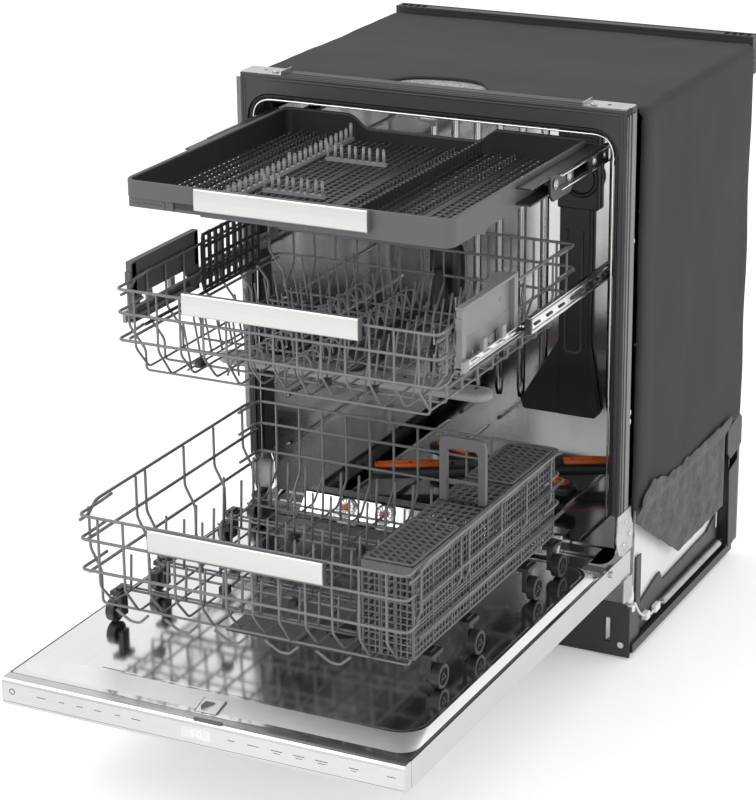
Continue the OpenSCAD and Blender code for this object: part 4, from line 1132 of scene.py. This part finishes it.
def water_parts():
    """Spray arms with nozzles, the upper pipe with its docking dome, and the conduit's raised ribs."""
    cy = 345
    arm, accent = Shape(), Shape()

    def blade(shape, length, width, low, high, angle, cy):
        """A spray arm's round-ended blade, with its top edge sloped in."""
        turn = Matrix.Rotation(math.radians(angle), 3, "Z")
        rings = []
        for inset, z in ((2, low), (0, low + 1.5), (0, high - 2), (width * 0.18, high - 0.3),
                         (width * 0.42, high)):
            row = []
            for side in (1, -1):
                for k in range(9):
                    a = math.radians(-90 + 180 * k / 8) if side > 0 else math.radians(90 + 180 * k / 8)
                    p = Vector((side * (length - width) / 2 + (width / 2 - inset) * math.cos(a),
                                (width / 2 - inset) * math.sin(a), 0))
                    row.append(turn @ p + Vector((0, cy, z)))
            rings.append(row)
        shape.rings(rings, True)
        n = len(rings[0])
        base = len(shape.points) - 5 * n
        shape.faces += [[base + i for i in range(n)], [base + 4 * n + i for i in range(n)]]
        shape.smooth += [False, False]

    lean = 28
    long_reach, short_reach, short_turn = 196, 132, lean - 46
    blade(arm, 430, 46, 184, 199, lean, cy)
    blade(arm, 300, 40, 184, 198, short_turn, cy)
    arm.lathe([(0.01, 166), (5.9, 166), (5.9, 181), (28, 182), (30, 184), (26, 201), (12, 204),
               (0.01, 204)], (0, cy, 0), "z", 36)
    for turn, reach in ((lean, long_reach), (lean + 180, long_reach), (short_turn, short_reach),
                        (short_turn + 180, short_reach)):
        c, d = math.cos(math.radians(turn)), math.sin(math.radians(turn))

        def along(u, v, z):
            """A place u out along this blade and v across it."""
            return (u * c - v * d, cy + u * d + v * c, z)
        for side in (-1, 1):
            accent.rod([along(reach * 0.5, side * 6, 199.6), along(reach * 0.75, side * 7, 199.8),
                        along(reach, side * 3, 199.4)], 5.0, 10)
            accent.disc(along(reach, side * 3, 198.4), 5.4, 3.6)
        for k in range(4):
            arm.disc(along(reach * (0.4 + 0.17 * k), 0, 199), 3.0, 4.4)
    arm.piece("wash_arm", "dark_plastic", "lower_arm", slot="orange_plastic", replaces=["lower_spray_arm"])
    accent.piece("wash_arm_accents", "orange_plastic", "lower_arm")
    upper = Shape()
    uy = -165
    blade(upper, 420, 44, 503, 514, 0, uy)
    upper.lathe([(6.2, 503), (24, 503), (24, 515), (20, 519), (6.2, 519)], (0, uy, 0), "z", 32)
    upper.piece("upper_arm_blade", "pale_plastic", "upper_arm", slot="grey_plastic",
                replaces=["upper_spray_arm"])
    nozzles = Shape()
    for s in (-1, 1):
        for k in range(6):
            nozzles.disc((s * (50 + 27 * k), uy + (6 if k % 2 else -6), 513.2), 3.0, 1.6)
    nozzles.piece("upper_arm_nozzles", "dark_plastic", "upper_arm", slot="grey_plastic")
    top = Shape()
    blade(top, 240, 34, 811, 819, 0, cy)
    top.lathe([(6.2, 811), (17, 811), (17, 823), (6.2, 823)], (0, cy, 0), "z", 28)
    top.piece("ceiling_arm_blade", "grey_plastic", "ceiling_arm", replaces=["ceiling_spray_arm"])
    pipe = Shape()
    cx, dz = 28, 608
    pipe.rod(bend([(0, -186, 534), (0, 10, 534), (cx, 44, 534), (cx, 58, 545), (cx, 64, dz - 6)], 22, 6),
             11, 18)
    humps = ((17, 78, 99, 8, 556), (24, 73, 101, 12, 566), (26, 72, 102, 13, 600), (25, 73, 101, 13, 622),
             (21, 76, 99, 11, 632), (12, 82, 95, 6, 637))
    pipe.rings([[p + Vector((cx, 0, 0)) for p in ring(*level)] for level in humps], True)
    pipe.disc((cx, 84, 637), 6, 1.5)
    pipe.lathe([(0.01, 497), (11, 497), (11, 502), (5.9, 503), (5.9, 520), (18, 520), (18, 528),
                (0.01, 528)], (0, uy, 0), "z", 28)
    pipe.piece("upper_pipe", "dark_plastic", "upper_rack", replaces=["upper_manifold"])
    (_, _, _), (_, wy1, wz1) = span("rear_water_conduit")
    duct = Shape()
    duct.block((-8, wy1 - 14, 200), (46, wy1, 560))
    duct.block((-12, wy1 - 15, 556), (58, wy1, 716))
    duct.block((-6, wy1 - 14, 712), (50, wy1, 832))
    duct.prism([(-8, 330), (46, 330), (66, 214), (58, 200), (-70, 200), (-76, 216)], wy1 - 13, 12, "xz")
    duct.block((-18, 330, wz1 - 9), (50, wy1, wz1))
    duct.lathe([(0.01, 809), (5.8, 809), (5.8, 827), (0.01, 827)], (0, 345, 0), "z", 20)
    duct.piece("conduit_body", "dark_plastic", replaces=["rear_water_conduit"], bevel=2.5)
    cx = 19
    ribs = Shape()
    for x in (cx - 14, cx + 14):
        ribs.rod(bend([(x, wy1 - 14, 322), (x, wy1 - 14.5, 520)], 4), 2.6, 10)
    ribs.rod(bend([(cx - 14, wy1 - 14.4, 330), (cx - 14, wy1 - 14.4, 312), (cx + 14, wy1 - 14.4, 312),
                   (cx + 14, wy1 - 14.4, 330)], 10), 2.6, 10)
    ribs.piece("conduit_ribs", "grey_plastic", slot="dark_plastic", bevel=0.5)
    fins = Shape()
    fins.lathe([(24, -2), (31, -2), (32, 0), (31, 1), (24, 1)], (28, wy1 - 15.5, dz), "y", 36)
    for k in range(12):
        fins.block((-10, wy1 - 17, 646 + k * 5.6), (56, wy1 - 14, 648 + k * 5.6))
    fins.piece("conduit_fins", "dark_plastic")


def silverware():
    """Moulded basket: posts with grid cells, inner walls and floor darkened as painted shade, a banded rim,
    slanted-slot lids and a raised grip.
    """
    (x0, y0, z0), (x1, y1, z1) = span("silverware_basket")
    grid = Shape()
    rows, cols = 12, 48
    pitch_y, pitch_z = (y1 - y0) / cols, (z1 - 14 - z0) / rows
    square = [(0.1, 0.12), (0.5, 0.12), (0.9, 0.12), (0.9, 0.5), (0.9, 0.88), (0.5, 0.88), (0.1, 0.88),
              (0.1, 0.5)]
    # The inner walls, dividers and floor are dark plastic while the outer walls are grey: painted shade
    # inside the basket, so the cells look dark.
    shaded_inside = Shape()
    shaded_inside.pierced((x0 + 0.2, y0, z0), (0, 1, 0), (0, 0, 1), (cols, rows), (pitch_y, pitch_z), square, 1.8)
    grid.pierced((x1, y0, z0), (0, 1, 0), (0, 0, 1), (cols, rows), (pitch_y, pitch_z), square, 1.8)
    width_cells = 8
    for y in (y0 + 1.8, -326.5, -252.5, -168.5, y1):
        wall = grid if y < y0 + 2 else shaded_inside
        wall.pierced((x0, y, z0), (1, 0, 0), (0, 0, 1), (width_cells, rows),
                     ((x1 - x0) / width_cells, pitch_z), square, -1.8)
    shaded_inside.pierced((x0, y0, z0 + 1.8), (1, 0, 0), (0, 1, 0), (width_cells, cols),
                   ((x1 - x0) / width_cells, pitch_y), square, 1.8)
    shaded_inside.piece("basket_inner_painted_shade", "dark_plastic", "silverware", slot="grey_plastic", weld=True)
    grid.piece("basket_grid", "grey_plastic", "silverware", replaces=["silverware_basket"], weld=True)
    rim = Shape()
    band = z1 - 14
    for x in (x0 - 0.4, x1 - 1.6):
        rim.block((x, y0 - 0.6, band), (x + 2, y1 + 0.6, z1))
        for i in range(9):
            y = y0 + 1 + i * (y1 - y0 - 2) / 8
            rim.block((x - 0.6, y - 1.8, z0), (x + 2.6, y + 1.8, z1))
        rim.block((x - 0.3, y0, z0 - 0.4), (x + 2.2, y1, z0 + 3))
        rim.block((x - 0.3, y0, z0 + 42), (x + 2.2, y1, z0 + 45))
    for y in (y0 - 0.6, y1 - 1.4):
        rim.block((x0, y, band), (x1, y + 2, z1))
        for i in range(4):
            x = x0 + 1 + i * (x1 - x0 - 2) / 3
            rim.block((x - 1.4, y - 0.4, z0), (x + 1.4, y + 2.4, z1))
    rim.piece("basket_rim", "grey_plastic", "silverware", bevel=0.6)
    hexes = [(0.2, 0.12), (0.5, 0.06), (0.8, 0.12), (0.94, 0.5), (0.8, 0.88), (0.5, 0.94), (0.2, 0.88),
             (0.06, 0.5)]
    middle = Shape()
    for start in (-331, -242):
        cell = ((x1 - x0 - 4) / 6, 14.6)
        middle.pierced((x0 + 2, start, z1 + 0.2), (1, 0, 0), (0, 1, 0), (6, 5), cell, hexes, 2)
    middle.piece("basket_middle_grids", "grey_plastic", "silverware", weld=True)
    slanted = [(0.05, 0.48), (0.40, 0.26), (0.80, 0.04), (0.92, 0.20), (0.96, 0.50), (0.60, 0.74),
               (0.20, 0.97), (0.08, 0.80)]
    for node, body in (("front_basket_lid", "front_lid"), ("rear_basket_lid", "rear_lid")):
        (lx0, ly0, lz0), (lx1, ly1, lz1) = span(node)
        lid = Shape()
        count = (5, 12)
        pitch = ((lx1 - lx0 - 6) / count[0], (ly1 - ly0 - 6) / count[1])
        lid.pierced((lx0 + 3, ly0 + 3, lz1 - 0.2), (1, 0, 0), (0, 1, 0), count, pitch, slanted, 2.0)
        edge = [(lx0 + 1.5, ly0 + 30, lz1 - 1), (lx0 + 1.5, ly0 + 1.5, lz1 - 1),
                (lx1 - 1.5, ly0 + 1.5, lz1 - 1), (lx1 - 1.5, ly1 - 1.5, lz1 - 1),
                (lx0 + 1.5, ly1 - 1.5, lz1 - 1), (lx0 + 1.5, ly0 + 30, lz1 - 1)]
        lid.rod(bend(edge, 5), 1.7, 8)
        lid.rod([(lx0 + 1.3, ly0, lz0 + 1.3), (lx0 + 1.3, ly1, lz0 + 1.3)], 1.5, 10)
        lid.piece(body + "_cover", "grey_plastic", body, replaces=[node], weld=True)
    (hx0, hy0, hz0), (hx1, hy1, hz1) = span("basket_handle")
    grip = Shape()
    outer = bend([(hx0, 0, hz0), (hx0, 0, hz1), (hx1, 0, hz1), (hx1, 0, hz0)], 12, 5)
    inner = bend([(hx0 + 11, 0, hz0), (hx0 + 11, 0, hz1 - 17), (hx1 - 11, 0, hz1 - 17), (hx1 - 11, 0, hz0)],
                 8, 5)
    loops = []
    for y in (hy0, hy1):
        loops.append([(p[0], y, p[2]) for p in outer] + [(p[0], y, p[2]) for p in reversed(inner)])
    grip.rings([loops[0], loops[1]])
    n = len(loops[0])
    m = n // 2
    for base in (0, n):
        grip.faces += [[base + i, base + i + 1, base + n - 2 - i, base + n - 1 - i] for i in range(m - 1)]
        grip.smooth += [False] * (m - 1)
    grip.block((hx0 + 10, hy0 + 2, hz0 + 26), (hx1 - 10, hy1 - 2, hz0 + 31))
    grip.piece("basket_grip", "grey_plastic", "silverware", replaces=["basket_handle"], bevel=1.2)


def upper_rails():
    """Chrome middle rails with ball races and punched slots."""
    (_, y0, z0), (x1, y1, z1) = span("upper_middle_rails")
    rail, marks = Shape(), Shape()
    web_x, lip, sheet, race_x = x1 - 10.6, x1 - 17, 1.4, x1 - 9.6
    rail.block((web_x - sheet, y0, z0 + 1), (web_x, y1, z1 - 1))
    rail.block((lip, y0, z0), (web_x, y1, z0 + sheet))
    rail.block((lip, y0, z1 - sheet), (web_x, y1, z1))
    for z in (z1 - 4, z0 + 4):
        rail.rod([(race_x, y0 + 2, z), (race_x, y1, z)], 1.6, 8)
    slot_z, slot_long, pitch = 612, 16, 42
    for i in range(11):
        y = y0 + 16 + i * pitch
        marks.rod([(x1 - 10.5, y, slot_z), (x1 - 10.5, y + slot_long, slot_z)], 2.2, 8)
    marks.block((x1 - 17.4, y0 - 1, z0 + 1), (x1 - 9, y0 + 5, z1 - 1))
    rail.mirrored().piece("upper_rail_bars", "rail_chrome", "upper_rails", replaces=["upper_middle_rails"],
                          bevel=0.3)
    marks.mirrored().piece("upper_rail_slots", "dark_plastic", "upper_rails", slot="rail_chrome")


def hinges():
    """Hinge plates behind the door's sides, with rivets and a bright folded edge."""
    face_x = 299.6
    plate, rivets = Shape(), Shape()
    plate.prism([(82, 256), (133, 256), (133, 240), (141, 224), (141, 188), (104, 185), (88, 193),
                 (78, 214)], face_x, 1.8)
    plate.prism([(112, 106), (144, 106), (144, 143), (112, 143)], face_x, 1.8)
    plate.rod(bend([(299.8, 84, 254), (299.8, 79, 214), (299.8, 89, 193), (299.8, 106, 186)], 10), 1.6, 8)
    plate.prism([(100, 252), (133, 252), (133, 254), (100, 254)], 290, 9.4)
    for y, z in ((112, 238), (126, 214), (104, 204)):
        rivets.lathe([(0.01, 0), (3.4, 0), (3.0, 1.4), (1.6, 2.2), (0.01, 2.4)], (301.2, y, z), "x", 20)
    plate.mirrored().piece("hinge_plates", "zinc", replaces=["hinge_brackets"], bevel=0.5)
    rivets.mirrored().piece("hinge_rivets", "rail_chrome", slot="zinc")


# ---- Putting it together ----

FINISH = make_finishes()
make_camera()
make_studio()
own_finish = {"tub": "tub_steel", "side_strips": "strip_steel"}
for part in frame["record"]["subparts"]:
    finish = FINISH[own_finish.get(part["node"], part["material_slot"])]
    for material_slot in frame["nodes"][part["node"]].material_slots:
        material_slot.material = finish

blanket()
side_pads()
front_frame()
tub_details()
top_hardware()
base_details()
door_liner()
door_front()
door_latch()
dispenser_details()
third_tray()
for rack in ("third", "upper", "lower"):
    bar_handle(rack + "_handle", rack + "_rack_handle", rack + "_rack")
third_rails()
upper_rack()
lower_rack()
rack_wheels()
adjusters()
cup_shelf()
water_parts()
silverware()
upper_rails()
hinges()
